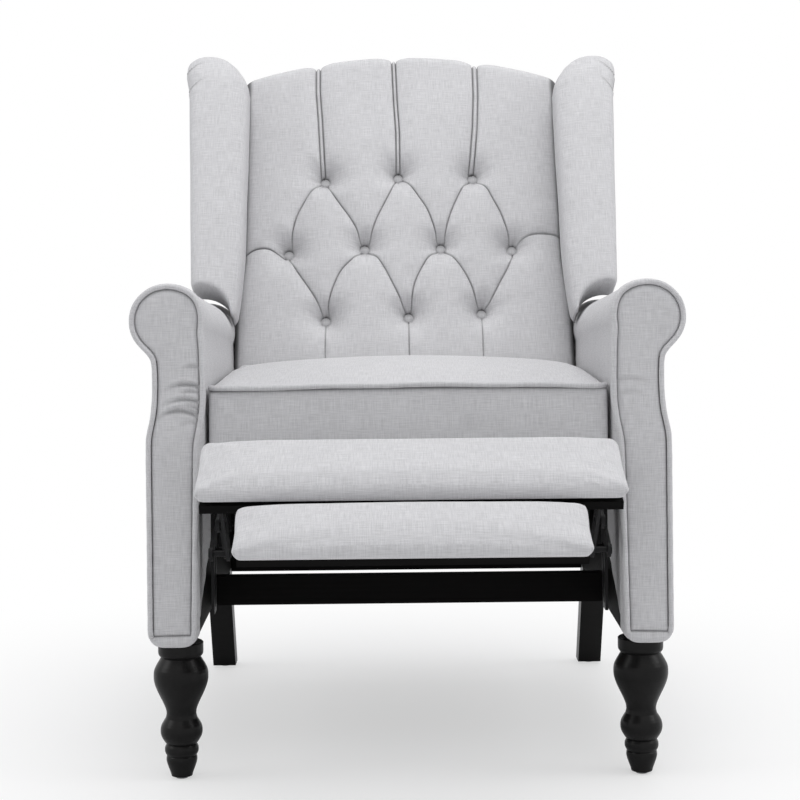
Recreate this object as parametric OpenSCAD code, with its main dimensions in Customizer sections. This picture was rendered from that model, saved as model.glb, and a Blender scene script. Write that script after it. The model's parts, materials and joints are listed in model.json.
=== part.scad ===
// Push-back wing recliner with a tufted back, drawn in its middle position:
// footrest out, back part of the way down. Lengths are millimetres.
// Inside the modules X runs to the sitter's left, Y runs from the front face of
// the arms to the rear and Z runs up from the floor.

/* [Seat] */
// Half of the seat cushion's width
cushion_half_w = 254; // [240:1:262]
// Distance of the cushion's front face behind the front of the arms
cushion_front_y = 15; // [8:1:30]
// Depth of the seat cushion
cushion_depth = 411; // [395:1:413]
// Height of the cushion's underside above the floor
cushion_bottom_z = 415; // [412:1:425]
// Height of the cushion's border, from underside to welt
cushion_border = 84; // [60:1:95]
// Rise of the crown above the welt
cushion_crown = 30; // [15:1:36]
// How far each side of the cushion draws in between its corners
cushion_pull = 3; // [0:0.5:5]
// Height of the seat rails
seat_rail_h = 23; // [18:1:26]
// Width of the side rails of the seat
seat_rail_w = 24; // [18:1:26]
// Distance of the front seat rail behind the front of the arms
seat_front_y = 42; // [42:1:50]
// Distance of the rear end of the seat frame behind the front of the arms
seat_rear_y = 470; // [460:1:472]
// Wire diameter of the zigzag springs
spring_wire = 3.6; // [3:0.1:4.5]
// Half of the zigzag's width
spring_swing = 22; // [15:1:26]

/* [Arms] */
// Gap between the cushion and the padded inside of an arm
arm_gap = 6; // [4:0.5:9]
// Padding on the inside of an arm
arm_inside_pad = 16; // [12:1:20]
// Thickness of the side frame
side_frame_t = 12; // [10:1:15]
// Height of the underside of the arms above the floor
base_z = 174; // [165:1:180]
// Distance from the front face of the arms to the rear of the side frames
side_depth = 612; // [606:1:620]
// Radius of the arm's top roll
roll_r = 46.5; // [42:0.5:48]
// Height of the top of the arm at its front
arm_top_z = 634; // [625:1:640]
// How much lower the arm's top is at its rear end
arm_drop = 44; // [20:1:50]
// Width of the arm's front panel below the roll
arm_w = 72; // [68:1:75]
// Thickness of the front panel
facing_t = 20; // [15:1:22]
// Depth of the padded return behind the front panel
jamb_depth = 70; // [60:1:110]
// Depth of the lining on the inside of the side frame
lining_depth = 345; // [300:1:350]
// Height of the lowest point of the lining's rear end
lining_rear_z = 297; // [280:1:310]
// Thickness of the outside arm panel
outer_panel_t = 6; // [4:0.5:8]

/* [Back] */
// Distance of the back's pivot behind the front of the arms
pivot_y = 492; // [490:1:496]
// Height of the back's pivot
pivot_z = 455; // [450:1:460]
// Lean of the back from upright in the drawn position
back_lean = 27; // [22:1:28]
// Distance from the pivot line forward to the pad's front plane
back_front_d = 56; // [50:1:57]
// Distance from the pivot line back to the rear of the outside panel
back_rear_d = 54; // [50:1:60]
// Width of the webbing across the back
web_w = 50; // [40:1:60]
// Step from strap to strap of the webbing
web_step = 74; // [60:1:80]
// Height of the middle of the back's top edge along the back
back_top_h = 567; // [550:1:580]
// How much lower the top edge is at its sides
back_top_arch = 40; // [20:1:50]
// Half of the back pad's width
back_half_w = 250; // [244:1:252]
// Thickness of the back pad
back_pad_t = 44; // [38:1:46]
// Distance between neighbouring buttons across the back
tuft_pitch = 117; // [105:1:122]
// Height of the lowest row of buttons along the back
tuft_low_h = 105; // [95:1:115]
// Step from the lowest row of buttons to the middle row
tuft_low_step = 114; // [105:1:120]
// Step from the middle row of buttons to the top row
tuft_high_step = 127; // [115:1:132]
// Depth of a tuft under the front plane
tuft_depth = 22; // [15:1:26]
// Depth of the folds between the buttons
fold_depth = 7; // [3:0.5:10]
// Depth of the channels above the top row
channel_depth = 9; // [4:0.5:12]
// Radius of a covered button
button_r = 10; // [8:0.5:10]

/* [Wings] */
// Half of the distance between the wings at the top
wing_in = 254; // [253.6:0.1:256]
// Half of the width over the wings at the top
wing_out = 339; // [325:1:345]
// How much narrower each wing's outside is at its lower end
wing_taper = 20; // [0:1:25]
// Distance from the pivot line forward to the wing's front edge
wing_front_d = 142; // [120:1:150]
// Height along the back of a wing's underside over the middle of an arm
wing_bottom_h = 133; // [131:1:160]
// How far the inside of a wing moves outwards towards its lower end
wing_flare = 7; // [0:0.5:8]
// Height of the wing's top along the back
wing_top_h = 540; // [520:1:550]

/* [Legs] */
// Half of the distance between the leg centres
leg_x = 295; // [293:1:297]
// Distance of the front leg centres behind the front of the arms
front_leg_y = 45; // [45:1:50]
// Radius of a front leg's collar
leg_collar_r = 29; // [26:1:32]
// Largest radius of a front leg
leg_bulb_r = 35; // [32:1:38]
// Side of the square rear legs
rear_leg_w = 36; // [32:1:38]
// How far a rear leg's foot stands behind its top
rear_leg_rake = 92; // [60:1:95]
// Height of the glides
glide_h = 3; // [2:0.5:5]
// Radius of the glides
glide_r = 7.5; // [6:0.5:10]
// Radius of the hanger bolts
bolt_r = 4; // [3:0.5:5]

/* [Base] */
// Height of the front cross rail
cross_rail_h = 40; // [30:1:45]
// Distance of the front cross rail behind the front of the arms
cross_rail_y = 284; // [270:1:320]
// Thickness of the front cross rail
cross_rail_t = 22; // [18:1:25]
// Height of the top of the rear apron
apron_top_z = 400; // [350:1:405]
// Height of the bottom of the rear apron
apron_bottom_z = 168; // [160:1:174]
// Thickness of the rear apron board
apron_t = 18; // [12:1:20]

/* [Mechanism] */
// Thickness of the steel links
link_t = 4; // [3:0.25:4.5]
// Gap between neighbouring links of the footrest
link_gap = 3; // [2.5:0.25:3]
// Half of the width of a link
link_r = 10; // [9:0.5:11]
// Radius of the pivot rivets
rivet_r = 4; // [3:0.5:5]
// Radial clearance of a rivet in a moving link
rivet_clear = 0.05; // [0.02:0.01:0.09]
// Length of the swing links between their pivots
swing_l = 110; // [100:1:115]
// Height of the upper pivots of the swing links
swing_top_z = 374; // [368:1:376]
// Distance of the front swing links behind the front of the arms
swing_front_y = 300; // [290:1:310]
// Distance of the rear swing links behind the front of the arms
swing_rear_y = 455; // [430:1:458]
// Length of the footrest links between their pivots
tong_l = 140; // [136:1:145]
// Angle of the folded footrest links to their line of travel
tong_closed = 78; // [74:1:80]

/* [Footrest] */
// Half of the upper pad's width
rest_half_w = 250; // [240:1:252]
// Length of the upper pad
rest_len = 128; // [115:1:130]
// Thickness of the upper pad at its edges
rest_t = 24; // [20:1:26]
// Rise of the upper pad's crown
rest_crown = 5; // [2:0.5:7]
// Distance of the open pad's centre in front of the arms
rest_open_y = 157; // [150:1:165]
// Height of the open pad's centre
rest_open_z = 415.5; // [410:0.5:420]
// Slope of the open pad down towards its front edge
rest_slope = 21; // [18:1:25]
// Height of the closed pad's centre
rest_closed_z = 344; // [338:1:344]
// Thickness of the footrest boards
board_t = 10; // [8:0.5:10]
// Distance of the front link's pivot under the pad's middle plane
foot_pivot_n = 38; // [36:0.5:40]
// Distance of the front link's pivot behind the pad's middle
foot_pivot_b = 16; // [10:1:20]
// Half of the second pad's width
flip_half_w = 200; // [180:1:203]
// Length of the second pad
flip_len = 95; // [80:1:97]
// Thickness of the second pad at its edges
flip_t = 16; // [13:1:18]
// Distance of the second pad's hinge under the upper pad's middle plane
flip_hinge_n = 29; // [28.5:0.5:31]

/* [Hidden] */

fabric = [0.82, 0.82, 0.84];
black_wood = [0.06, 0.06, 0.06];
raw_wood = [0.72, 0.56, 0.38];
black_steel = [0.12, 0.12, 0.13];
bright_steel = [0.6, 0.61, 0.63];
black_cloth = [0.1, 0.1, 0.1];
grey_plastic = [0.5, 0.5, 0.5];

// Clearance of soft parts from what they lie against
soft_gap = 0.3;
// Facets round a bore, and round a larger turned shape
bore_fn = 24;
turned_fn = 48;

// Arms, from the middle of the chair outwards
arm_in = cushion_half_w + arm_gap;
frame_in = arm_in + arm_inside_pad;
frame_out = frame_in + side_frame_t;
arm_out = arm_in + arm_w;
roll_x = arm_in - 0.5 + roll_r;
roll_z = arm_top_z - roll_r;
jamb_in = arm_in + 7;
// Inner wall of the outside panel, which the corner blocks fill to
cavity_out = arm_out - outer_panel_t;
frame_top_z = roll_z - 51;
inside_pad_z = cushion_bottom_z - 15;
waist_z = 440;

// Layers of steel, given by their outer faces
plate_out = cushion_half_w + 4;
layer_step = link_t + link_gap;
rear_link_out = plate_out - link_t - link_t;
cross_out = rear_link_out - layer_step;
control_out = cross_out - layer_step;
front_out = control_out - layer_step;
bracket_out = front_out - layer_step;
swing_out = frame_in - 5 - link_t;
rail_plate_t = 5;
rail_h = 44;
lining_t = 2.4;
rivet_head = 1.5;
rivet_head_r = rivet_r + 2.5;
plate_top_z = cushion_bottom_z - 2 - seat_rail_h;

// Footrest: the upper pad's frame has b towards its rear edge, n off its face
rest_closed_y = rest_t / 2 + rest_crown - 3.5;
open_pivot_y = -rest_open_y + foot_pivot_b * cos(rest_slope) + foot_pivot_n * sin(rest_slope);
open_pivot_z = rest_open_z + foot_pivot_b * sin(rest_slope) - foot_pivot_n * cos(rest_slope);
closed_pivot_y = rest_closed_y + foot_pivot_n;
closed_pivot_z = rest_closed_z + foot_pivot_b;
travel_y = closed_pivot_y - open_pivot_y;
travel_z = open_pivot_z - closed_pivot_z;
travel = sqrt(travel_y * travel_y + travel_z * travel_z);
travel_angle = atan2(travel_z, travel_y);
tong_open = acos(cos(tong_closed) + travel / (2 * tong_l));

// Points of the open linkage, as [y, z]; "ahead" is its line of travel
ahead = [-cos(travel_angle), sin(travel_angle)];
above = [sin(travel_angle), cos(travel_angle)];
open_stage = tong_l * cos(tong_open);
open_spread = tong_l * sin(tong_open);
closed_spread = tong_l * sin(tong_closed);
foot_pivot = [open_pivot_y, open_pivot_z];
tong_root = foot_pivot - 2 * open_stage * ahead;
upper_knee = foot_pivot - open_stage * ahead;
slot_pin = tong_root - open_spread * above;
lower_knee = upper_knee - open_spread * above;
rear_cross = (tong_root + lower_knee) / 2;
front_cross = (lower_knee + foot_pivot) / 2;
slot_low = tong_root - closed_spread * above;

board_top_n = -rest_t / 2 - soft_gap;
board_low_n = board_top_n - board_t;
leaf_t = 1.5;
knuckle_r = 3.2;
flip_hinge_b = -rest_len / 2 - 2;
flip_rear_b = flip_hinge_b - 6;
// The second board and its leaves pass the fixed leaves' upright part when folded
flip_board_rear_b = flip_hinge_b - 9.5;
flip_board_t = 8;
flip_board_low_n = -flip_hinge_n - 3;
flip_pad_low_n = flip_board_low_n + flip_board_t + soft_gap;
flip_crown = 5;
flip_centre_b = flip_rear_b - flip_len / 2;

// Back: d runs from the pivot line to the rear, h runs up along the back
back_pad_rear_d = -back_front_d + back_pad_t;
post_front_d = back_pad_rear_d + 4;
panel_t = 14;
post_rear_d = back_rear_d - panel_t;
post_out = back_half_w - 4;
post_w = 28;
post_low_h = -28;
post_top_h = back_top_h - 40;
strap_t = 1.5;
tuft_mid_h = tuft_low_h + tuft_low_step;
tuft_high_h = tuft_mid_h + tuft_high_step;
low_tufts = [for (k = [-1:1]) [k * tuft_pitch, tuft_low_h]];
mid_tufts = [for (k = [-1.5:1:1.5]) [k * tuft_pitch, tuft_mid_h]];
high_tufts = [for (k = [-1:1]) [k * tuft_pitch, tuft_high_h]];
tufts = concat(low_tufts, mid_tufts, high_tufts);
panel_top_h = back_top_h - 12;

// The object's middle in Y lies half-way between the second pad and the back
flip_front_b = flip_rear_b - flip_len;
flip_front_n = flip_pad_low_n + flip_t * 0.5;
front_most_y = -rest_open_y + flip_front_b * cos(rest_slope) - flip_front_n * sin(rest_slope);
rear_most_y = pivot_y + panel_top_h * sin(back_lean) + back_rear_d * cos(back_lean);
middle_y = (front_most_y + rear_most_y) / 2;

// Small functions

function clamp(v, low, high) = min(max(v, low), high);
function ease(t) = let(u = clamp(t, 0, 1)) u * u * (3 - 2 * u);

// Distance from point p to the straight line between a and b
function line_gap(p, a, b) =
    let(
        ab = b - a,
        t = clamp(((p - a) * ab) / (ab * ab), 0, 1)
    )
    norm(p - a - t * ab);

// Quarter circle of n steps about [u, v], starting at angle a
function corner(u, v, r, a, n) = [for (i = [0:n]) [u + r * cos(a + 90 * i / n), v + r * sin(a + 90 * i / n)]];

// Arc from angle a to angle b
function arc(u, v, r, a, b, n) =
    [for (i = [0:n]) let(t = a + (b - a) * i / n) [u + r * cos(t), v + r * sin(t)]];

// Smooth curve through points, n steps between neighbours
function curve(points, n) =
    let(last = len(points) - 1)
    [
        for (i = [0:last - 1]) for (k = [0:n - 1])
            let(
                t = k / n,
                p0 = points[max(i - 1, 0)], p1 = points[i],
                p2 = points[i + 1], p3 = points[min(i + 2, last)]
            )
            0.5 * (2 * p1 + (p2 - p0) * t + (2 * p0 - 5 * p1 + 4 * p2 - p3) * t * t
                + (3 * p1 - p0 - 3 * p2 + p3) * t * t * t),
        points[last]
    ];

// Mean of a list of points
function mean(points) = [for (j = [1:len(points)]) 1] * points / len(points);

// Small building modules

// Skin over rings of points; the ends are flat, or fans about their middles
module loft(rings, fans = false) {
    n = len(rings[0]);
    m = len(rings);
    points = concat([for (ring = rings) each ring], fans ? [mean(rings[0]), mean(rings[m - 1])] : []);
    sides = [
        for (i = [0:m - 2]) for (j = [0:n - 1])
            let(a = i * n + j, b = i * n + (j + 1) % n)
            each [[a, b + n, b], [a, a + n, b + n]]
    ];
    flat_ends = [[for (j = [0:n - 1]) j], [for (j = [n - 1:-1:0]) (m - 1) * n + j]];
    fan_ends = [
        for (j = [0:n - 1]) let(k = (j + 1) % n, top = (m - 1) * n)
            each [[j, k, m * n], [top + k, top + j, m * n + 1]]
    ];
    ends = fans ? fan_ends : flat_ends;
    polyhedron(points, concat(sides, ends), convexity = 8);
}

module placed() {
    translate([0, -middle_y, 0]) children();
}

// Draws children on both sides of the chair
module pair() {
    children();
    mirror([1, 0, 0]) children();
}

// Plate with outline [y, z], from x = out - t to x = out
module plate(out, t) {
    translate([out - t, 0, 0]) rotate([90, 0, 90]) linear_extrude(t) children();
}

// Rod along X between x0 and x1 at p = [y, z]
module rod(p, x0, x1, r) {
    translate([x0, p[0], p[1]]) rotate([0, 90, 0]) cylinder(r = r, h = x1 - x0, $fn = bore_fn);
}

// Rod with a head on one or both ends, outside the span x0 to x1
module rivet(p, x0, x1, head_in = true, head_out = true) {
    rod(p, x0, x1, rivet_r);
    if (head_in) rod(p, x0 - rivet_head, x0, rivet_head_r);
    if (head_out) rod(p, x1, x1 + rivet_head, rivet_head_r);
}

module disc(p, r) {
    translate(p) circle(r = r, $fn = bore_fn);
}

// Flat link from p to q, before its bores; its sides cross the round ends just inside their tangents
module strip(p, q, r) {
    half = r - 0.05;
    disc(p, r);
    disc(q, r);
    translate(p) rotate(atan2(q[1] - p[1], q[0] - p[0]))
        translate([0, -half]) square([norm(q - p), 2 * half]);
}

module box(low, high) {
    translate(low) cube(high - low);
}

// Soft block with rounded edges, crowned top and drawn-in sides, centred in X and Y, standing on z = 0
function block_section(depth, t, r, crown, steps) =
    let(h = depth / 2 - r)
    concat(
        corner(h, r, r, -90, 2),
        corner(h, t - r, r, 0, 2),
        [for (i = [1:steps - 1]) let(u = h * (1 - 2 * i / steps)) [u, t + crown * (1 - pow(2 * u / depth, 2))]],
        corner(-h, t - r, r, 90, 2),
        corner(-h, r, r, 180, 2)
    );

module soft_block(half_w, depth, t, r, crown, pull, steps, stations) {
    rounds = [for (a = [0:30:90]) [half_w - r * (1 - sin(a)), r * (1 - cos(a))]];
    ends = [for (e = rounds) if (e[1] < r * 0.9) e];
    flat = [for (i = [1:stations - 1]) [(half_w - r) * (2 * i / stations - 1), 0]];
    columns = concat(
        [for (i = [len(ends) - 1:-1:0]) [-ends[i][0], ends[i][1]]],
        flat,
        ends
    );
    loft([
        for (c = columns)
            let(
                across = 1 - pow(c[0] / half_w, 2),
                section = block_section(depth - 2 * c[1], t - 2 * c[1], r - c[1] * 0.9, crown * across, steps)
            )
            [
                for (p = section)
                    let(along = 1 - pow(clamp(2 * p[0] / depth, -1, 1), 2))
                    [
                        c[0] * (1 - pull / half_w * along * pow(abs(c[0]) / half_w, 4)),
                        p[0] * (1 - 2 * pull / depth * across),
                        p[1] + c[1]
                    ]
            ]
    ]);
}

// Base: arms

// Outline of the arm's front panel, as [x, z], anticlockwise
function facing_outline() =
    let(r = 15)
    concat(
        arc(frame_in - 6 + r, base_z + r, r, 180, 270, 4),
        arc(arm_out - r, base_z + r, r, 270, 360, 4),
        curve([
            for (p = concat([[arm_out, base_z + 180]], waist_line())) p
        ], 3),
        arc(roll_x, roll_z, roll_r, -50, 196, 24),
        curve([
            [roll_x - 44, roll_z - 24], [arm_in + 5, roll_z - 42], [arm_in + 2, roll_z - 80],
            [arm_in + 6, roll_z - 114], [frame_in - 5, waist_z + 2], [frame_in - 6, waist_z - 50]
        ], 3)
    );

module arm_facing() {
    color(fabric) placed() {
        rotate([90, 0, 0]) translate([0, 0, -facing_t]) linear_extrude(facing_t) polygon(facing_outline());
        box([jamb_in, facing_t, base_z + 2], [frame_in - soft_gap, jamb_depth, inside_pad_z - soft_gap]);
        plate(frame_in - soft_gap, lining_t) polygon([
            [facing_t, base_z + 2], [jamb_depth + 14, base_z + 17], [lining_depth / 2, lining_rear_z - 57],
            [lining_depth, lining_rear_z], [lining_depth, rail_low_z - 2], [rail_ends[0] - 2, rail_low_z - 2],
            [rail_ends[0] - 2, inside_pad_z - soft_gap], [facing_t, inside_pad_z - soft_gap]
        ]);
    }
}

// How far the roll has come down at depth y
function drop_at(y) = arm_drop * clamp(y / (side_depth - 120), 0, 1);

// One ring of the inside pad and roll, at depth y and drawn in by inset
function arm_ring(y, inset) =
    let(
        low = roll_z - drop_at(y),
        floor_z = frame_top_z - drop_at(y) + soft_gap,
        r = roll_r - inset,
        side = arm_in + inset
    )
    [
        for (p = concat(
            [[frame_in - soft_gap, inside_pad_z], [frame_in - soft_gap, floor_z], [arm_out - 8 - inset, floor_z]],
            [[arm_out - 6 - inset, low - 44]],
            arc(roll_x, low, r, -46, 180, 18),
            [[side, low - 40], [side, (low + inside_pad_z) / 2 - 20], [side + 2, inside_pad_z + 6], [side + 8, inside_pad_z]]
        ))
            [p[0], y, p[1]]
    ];

module arm_pad() {
    front = facing_t + soft_gap;
    back = side_depth - 22;
    color(fabric) placed()
        loft(concat(
            [for (y = [back, back - 3, back - 10]) arm_ring(y, 6 * pow((y - back + 10) / 10, 2))],
            [for (i = [4:-1:0]) arm_ring(front + (back - 14 - front) * i / 5, 0)]
        ));
}

// Side frame outline, as [y, z]
module side_frame_outline() {
    polygon([
        [facing_t, base_z], [side_depth, base_z], [side_depth, frame_top_z - arm_drop],
        [side_depth - 120, frame_top_z - arm_drop], [facing_t, frame_top_z - drop_at(facing_t)]
    ]);
}

module side_frame() {
    color(black_wood) placed() plate(frame_out, side_frame_t) side_frame_outline();
}

// Outer edge of the front panel above its base, as [x, z]; the outside panel follows it
function waist_line() =
    [
        [arm_out, waist_z - 10], [arm_out - 2, waist_z + 8], [arm_out - 7, waist_z + 32], [arm_out - 9, waist_z + 66],
        [arm_out - 8, roll_z - 48]
    ];

module outside_arm_panel() {
    t = outer_panel_t;
    rear = side_depth + t;
    line = concat([[arm_out, base_z + 1]], waist_line());
    color(fabric) placed() intersection() {
        union() {
            translate([0, rear, 0]) rotate([90, 0, 0]) linear_extrude(rear - facing_t)
                polygon(concat(line, [for (i = [len(line) - 1:-1:0]) line[i] - [t, 0]]));
            translate([0, rear, 0]) rotate([90, 0, 0]) linear_extrude(t)
                polygon(concat([[frame_in, base_z + 1]], line, [[frame_in, roll_z - 48]]));
        }
        plate(arm_out + 1, arm_w) polygon([
            [facing_t, base_z], [rear + 1, base_z], [rear + 1, frame_top_z - arm_drop],
            [side_depth - 120, frame_top_z - arm_drop], [facing_t, frame_top_z - drop_at(facing_t)]
        ]);
    }
}

module corner_blocks() {
    color(raw_wood) placed() pair()
        for (spot = [[front_leg_y, 126, [-21, 39]], [rear_leg_top_y(), waist_z - 10 - base_z, [-22, 18]]])
            difference() {
                box(
                    [frame_out, spot[0] + spot[2][0], base_z],
                    [cavity_out, min(spot[0] + spot[2][1], side_depth), base_z + spot[1]]
                );
                translate([leg_x, spot[0], base_z - 1]) cylinder(r = bolt_r + rivet_clear, h = bolt_up + 2, $fn = bore_fn);
            }
}

// Base: legs

bolt_up = 60;
bolt_down = 20;
function rear_leg_top_y() = side_depth - rear_leg_w / 2;

// Turned profile of a front leg, as [radius, z], from the glide upwards: foot, ring, ball, vase and collar
function leg_profile() =
    concat(
        [[0, glide_h], [13.4, glide_h]],
        curve([[14.3, 6.5], [18.3, 17.5], [19.7, 23.4], [19.4, 27.8]], 3),
        [[18.5, 29.2]],
        curve([[19.5, 30.2], [21.4, 34], [21.4, 39.5], [19.6, 43.4]], 3),
        [[18.9, 44.3]],
        curve([[21, 46], [25.3, 53], [26.9, 60], [25.6, 68], [20.2, 77]], 3),
        curve([
            [19, 82], [19.7, 88], [23.2, 97], [leg_bulb_r - 5, 111], [leg_bulb_r - 1, 122], [leg_bulb_r, 131],
            [leg_bulb_r - 1.4, 140.5], [leg_bulb_r - 9, 153.8]
        ], 3),
        [[leg_bulb_r - 9.6, 155]],
        curve([[leg_collar_r - 2.4, 156.2], [leg_collar_r - 0.4, 159], [leg_collar_r, 163]], 2),
        [[leg_collar_r, base_z - 1], [leg_collar_r - 1, base_z], [0, base_z]]
    );

module front_leg() {
    color(black_wood) placed() translate([leg_x, front_leg_y, 0])
        difference() {
            rotate_extrude($fn = turned_fn) polygon(leg_profile());
            translate([0, 0, base_z - bolt_down]) cylinder(r = bolt_r + rivet_clear, h = bolt_down + 1, $fn = bore_fn);
        }
}

module rear_leg() {
    top = rear_leg_top_y();
    half = rear_leg_w / 2;
    foot = top + rear_leg_rake;
    color(black_wood) placed()
        difference() {
            plate(leg_x + half, rear_leg_w) polygon([
                [foot - half, glide_h], [foot + half, glide_h], [top + half, base_z], [top - half, base_z]
            ]);
            translate([leg_x, top, base_z - bolt_down]) cylinder(r = bolt_r + rivet_clear, h = bolt_down + 1, $fn = bore_fn);
        }
}

module glides() {
    color(grey_plastic) placed() pair()
        for (y = [front_leg_y, rear_leg_top_y() + rear_leg_rake])
            translate([leg_x, y, 0]) cylinder(r = glide_r, h = glide_h, $fn = bore_fn);
}

module hanger_bolts() {
    color(bright_steel) placed() pair()
        for (y = [front_leg_y, rear_leg_top_y()])
            translate([leg_x, y, base_z - bolt_down]) cylinder(r = bolt_r, h = bolt_down + bolt_up, $fn = bore_fn);
}

// Base: rails and mechanism rails

module front_cross_rail() {
    color(black_wood) placed()
        box([-frame_in, cross_rail_y, base_z], [frame_in, cross_rail_y + cross_rail_t, base_z + cross_rail_h]);
}

module rear_apron() {
    back = side_depth - 2;
    color(black_wood) placed()
        box([-frame_in, back - apron_t, apron_bottom_z], [frame_in, back, apron_top_z]);
}

module rear_apron_cover() {
    back = side_depth - 2;
    color(fabric) placed()
        box([-frame_in, back, apron_bottom_z], [frame_in, back + 3, apron_top_z]);
}

rail_ends = [swing_front_y - 50, swing_rear_y + 45];
rail_low_z = swing_top_z - rail_h / 2;
rail_screws = [[swing_front_y - 30, swing_top_z], [(swing_front_y + swing_rear_y) / 2, swing_top_z], [swing_rear_y + 28, swing_top_z]];

module mechanism_rail() {
    color(black_steel) placed()
        plate(frame_in, rail_plate_t) difference() {
            translate([rail_ends[0], rail_low_z]) square([rail_ends[1] - rail_ends[0], rail_h]);
            for (y = [swing_front_y, swing_rear_y]) disc([y, swing_top_z], rivet_r + 0.02);
            for (p = rail_screws) disc(p, 2.5);
        }
}

module mechanism_screws() {
    color(bright_steel) placed() pair()
        for (p = rail_screws) {
            rod(p, frame_in - rail_plate_t, frame_in, 2.4);
            rod(p, frame_in - rail_plate_t - 1.2, frame_in - rail_plate_t, 5);
        }
}

module base_rivets() {
    color(bright_steel) placed() pair()
        for (y = [swing_front_y, swing_rear_y])
            rivet([y, swing_top_z], swing_out - link_t, frame_in, true, false);
}

module swing_links(y) {
    top = [y, swing_top_z];
    low = [y, swing_top_z - swing_l];
    color(black_steel) placed() pair()
        plate(swing_out, link_t) difference() {
            strip(low, top, 12);
            disc(top, rivet_r + rivet_clear);
            disc(low, rivet_r + rivet_clear);
        }
}

// Seat

back_pivot = [pivot_y, pivot_z];
swing_low_z = swing_top_z - swing_l;

module seat_side_plate() {
    slot_w = 2 * (rivet_r + 0.1);
    color(black_steel) placed() {
        plate(plate_out, link_t) difference() {
            union() {
                translate([slot_low[0] - 14, plate_top_z - 46]) square([seat_rear_y + 14 - slot_low[0], 46]);
                polygon([
                    [slot_low[0] - 14, slot_low[1] - 14], [slot_low[0] + 14, slot_low[1] - 14],
                    [tong_root[0] + 18, plate_top_z - 40], [slot_low[0] - 14, plate_top_z - 40]
                ]);
                for (y = [swing_front_y, swing_rear_y]) {
                    strip([y, swing_low_z], [y, plate_top_z - 24], 14);
                }
                strip([seat_rear_y - 16, plate_top_z - 20], back_pivot, 16);
            }
            disc(tong_root, rivet_r + 0.02);
            strip(slot_pin + 3 * above, slot_low - 3 * above, slot_w / 2);
            for (y = [swing_front_y, swing_rear_y]) disc([y, swing_low_z], rivet_r + 0.02);
            disc(back_pivot, rivet_r + 0.02);
        }
        box(
            [plate_out - 28, slot_low[0], plate_top_z - link_t],
            [plate_out - link_t, seat_rear_y, plate_top_z]
        );
    }
}

module seat_rivets() {
    color(bright_steel) placed() pair() {
        for (y = [swing_front_y, swing_rear_y])
            rivet([y, swing_low_z], plate_out - link_t, swing_out);
        rivet(tong_root, rear_link_out - link_t, plate_out, false, true);
        rivet(back_pivot, post_out, plate_out, false, false);
    }
}

module seat_side_rails() {
    color(raw_wood) placed() pair()
        box(
            [cushion_half_w - seat_rail_w, seat_front_y + seat_rail_w, plate_top_z],
            [cushion_half_w, seat_rear_y, plate_top_z + seat_rail_h]
        );
}

module seat_cross_rail(y) {
    inner = cushion_half_w - (y == seat_front_y ? 0 : seat_rail_w);
    color(raw_wood) placed()
        box([-inner, y, plate_top_z], [inner, y + seat_rail_w, plate_top_z + seat_rail_h]);
}

spring_z = plate_top_z + seat_rail_h - 6;
spring_y = [seat_front_y + seat_rail_w + 3, seat_rear_y - seat_rail_w - 3];
spring_x = [-165, -55, 55, 165];

// Wire of one zigzag spring along Y, swept as a five-sided tube
module seat_springs() {
    turns = 8;
    rings = 8 * turns;
    length = spring_y[1] - spring_y[0];
    path = [for (i = [0:rings]) let(t = i / rings) [spring_swing * sin(360 * turns * t), spring_y[0] + length * t]];
    color(bright_steel) placed() for (x = spring_x)
        translate([x, 0, spring_z])
            loft([
                for (i = [rings:-1:0])
                    let(
                        d = path[min(i + 1, rings)] - path[max(i - 1, 0)],
                        side = (i == 0 || i == rings) ? [1, 0] : [d[1], -d[0]] / norm(d)
                    )
                    [
                        for (k = [0:4])
                            let(r = spring_wire / 2, a = 72 * k)
                            [path[i][0] + side[0] * r * cos(a), path[i][1] + side[1] * r * cos(a), r * sin(a)]
                    ]
            ]);
}

module spring_clips() {
    color(black_steel) placed() for (x = spring_x) {
        box([x - 9, seat_front_y + seat_rail_w, spring_z - 6], [x + 9, spring_y[0], spring_z + 6]);
        box([x - 9, spring_y[1], spring_z - 6], [x + 9, spring_y[1] + 3, spring_z + 6]);
    }
}

module deck_cloth() {
    top = plate_top_z + seat_rail_h;
    color(black_cloth) placed()
        box([-cushion_half_w + 2, seat_front_y + 2, top], [cushion_half_w - 2, seat_rear_y - 30, top + 1.5]);
}

module seat_cushion() {
    color(fabric) placed() translate([0, cushion_front_y + cushion_depth / 2, cushion_bottom_z])
        soft_block(cushion_half_w, cushion_depth, cushion_border, 14, cushion_crown, cushion_pull, 14, 16);
}

// Footrest linkage

module link(p, q, out, tight, loose) {
    plate(out, link_t) difference() {
        strip(p, q, link_r);
        for (c = tight) disc(c, rivet_r + 0.02);
        for (c = loose) disc(c, rivet_r + rivet_clear);
    }
}

module rear_links() {
    color(black_steel) placed() pair()
        link(tong_root, lower_knee, rear_link_out, [rear_cross, lower_knee], [tong_root]);
}

module torque_tube() {
    half = rear_link_out - link_t;
    color(black_steel) placed() difference() {
        rod(tong_root, -half, half, 9);
        rod(tong_root, -half - 1, half + 1, 7);
    }
}

module rear_link_rivets() {
    color(bright_steel) placed() pair() {
        rivet(rear_cross, cross_out - link_t, rear_link_out);
        rivet(lower_knee, front_out - link_t, rear_link_out);
    }
}

module crossing_links() {
    color(black_steel) placed() pair()
        link(slot_pin, upper_knee, cross_out, [slot_pin, upper_knee], [rear_cross]);
}

module crossing_link_rivets() {
    color(bright_steel) placed() pair() {
        rivet(slot_pin, cross_out - link_t, plate_out);
        rivet(upper_knee, control_out - link_t, cross_out);
    }
}

module control_links() {
    color(black_steel) placed() pair()
        link(upper_knee, front_cross, control_out, [], [upper_knee, front_cross]);
}

module front_links() {
    color(black_steel) placed() pair()
        link(lower_knee, foot_pivot, front_out, [front_cross, foot_pivot], [lower_knee]);
}

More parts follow.
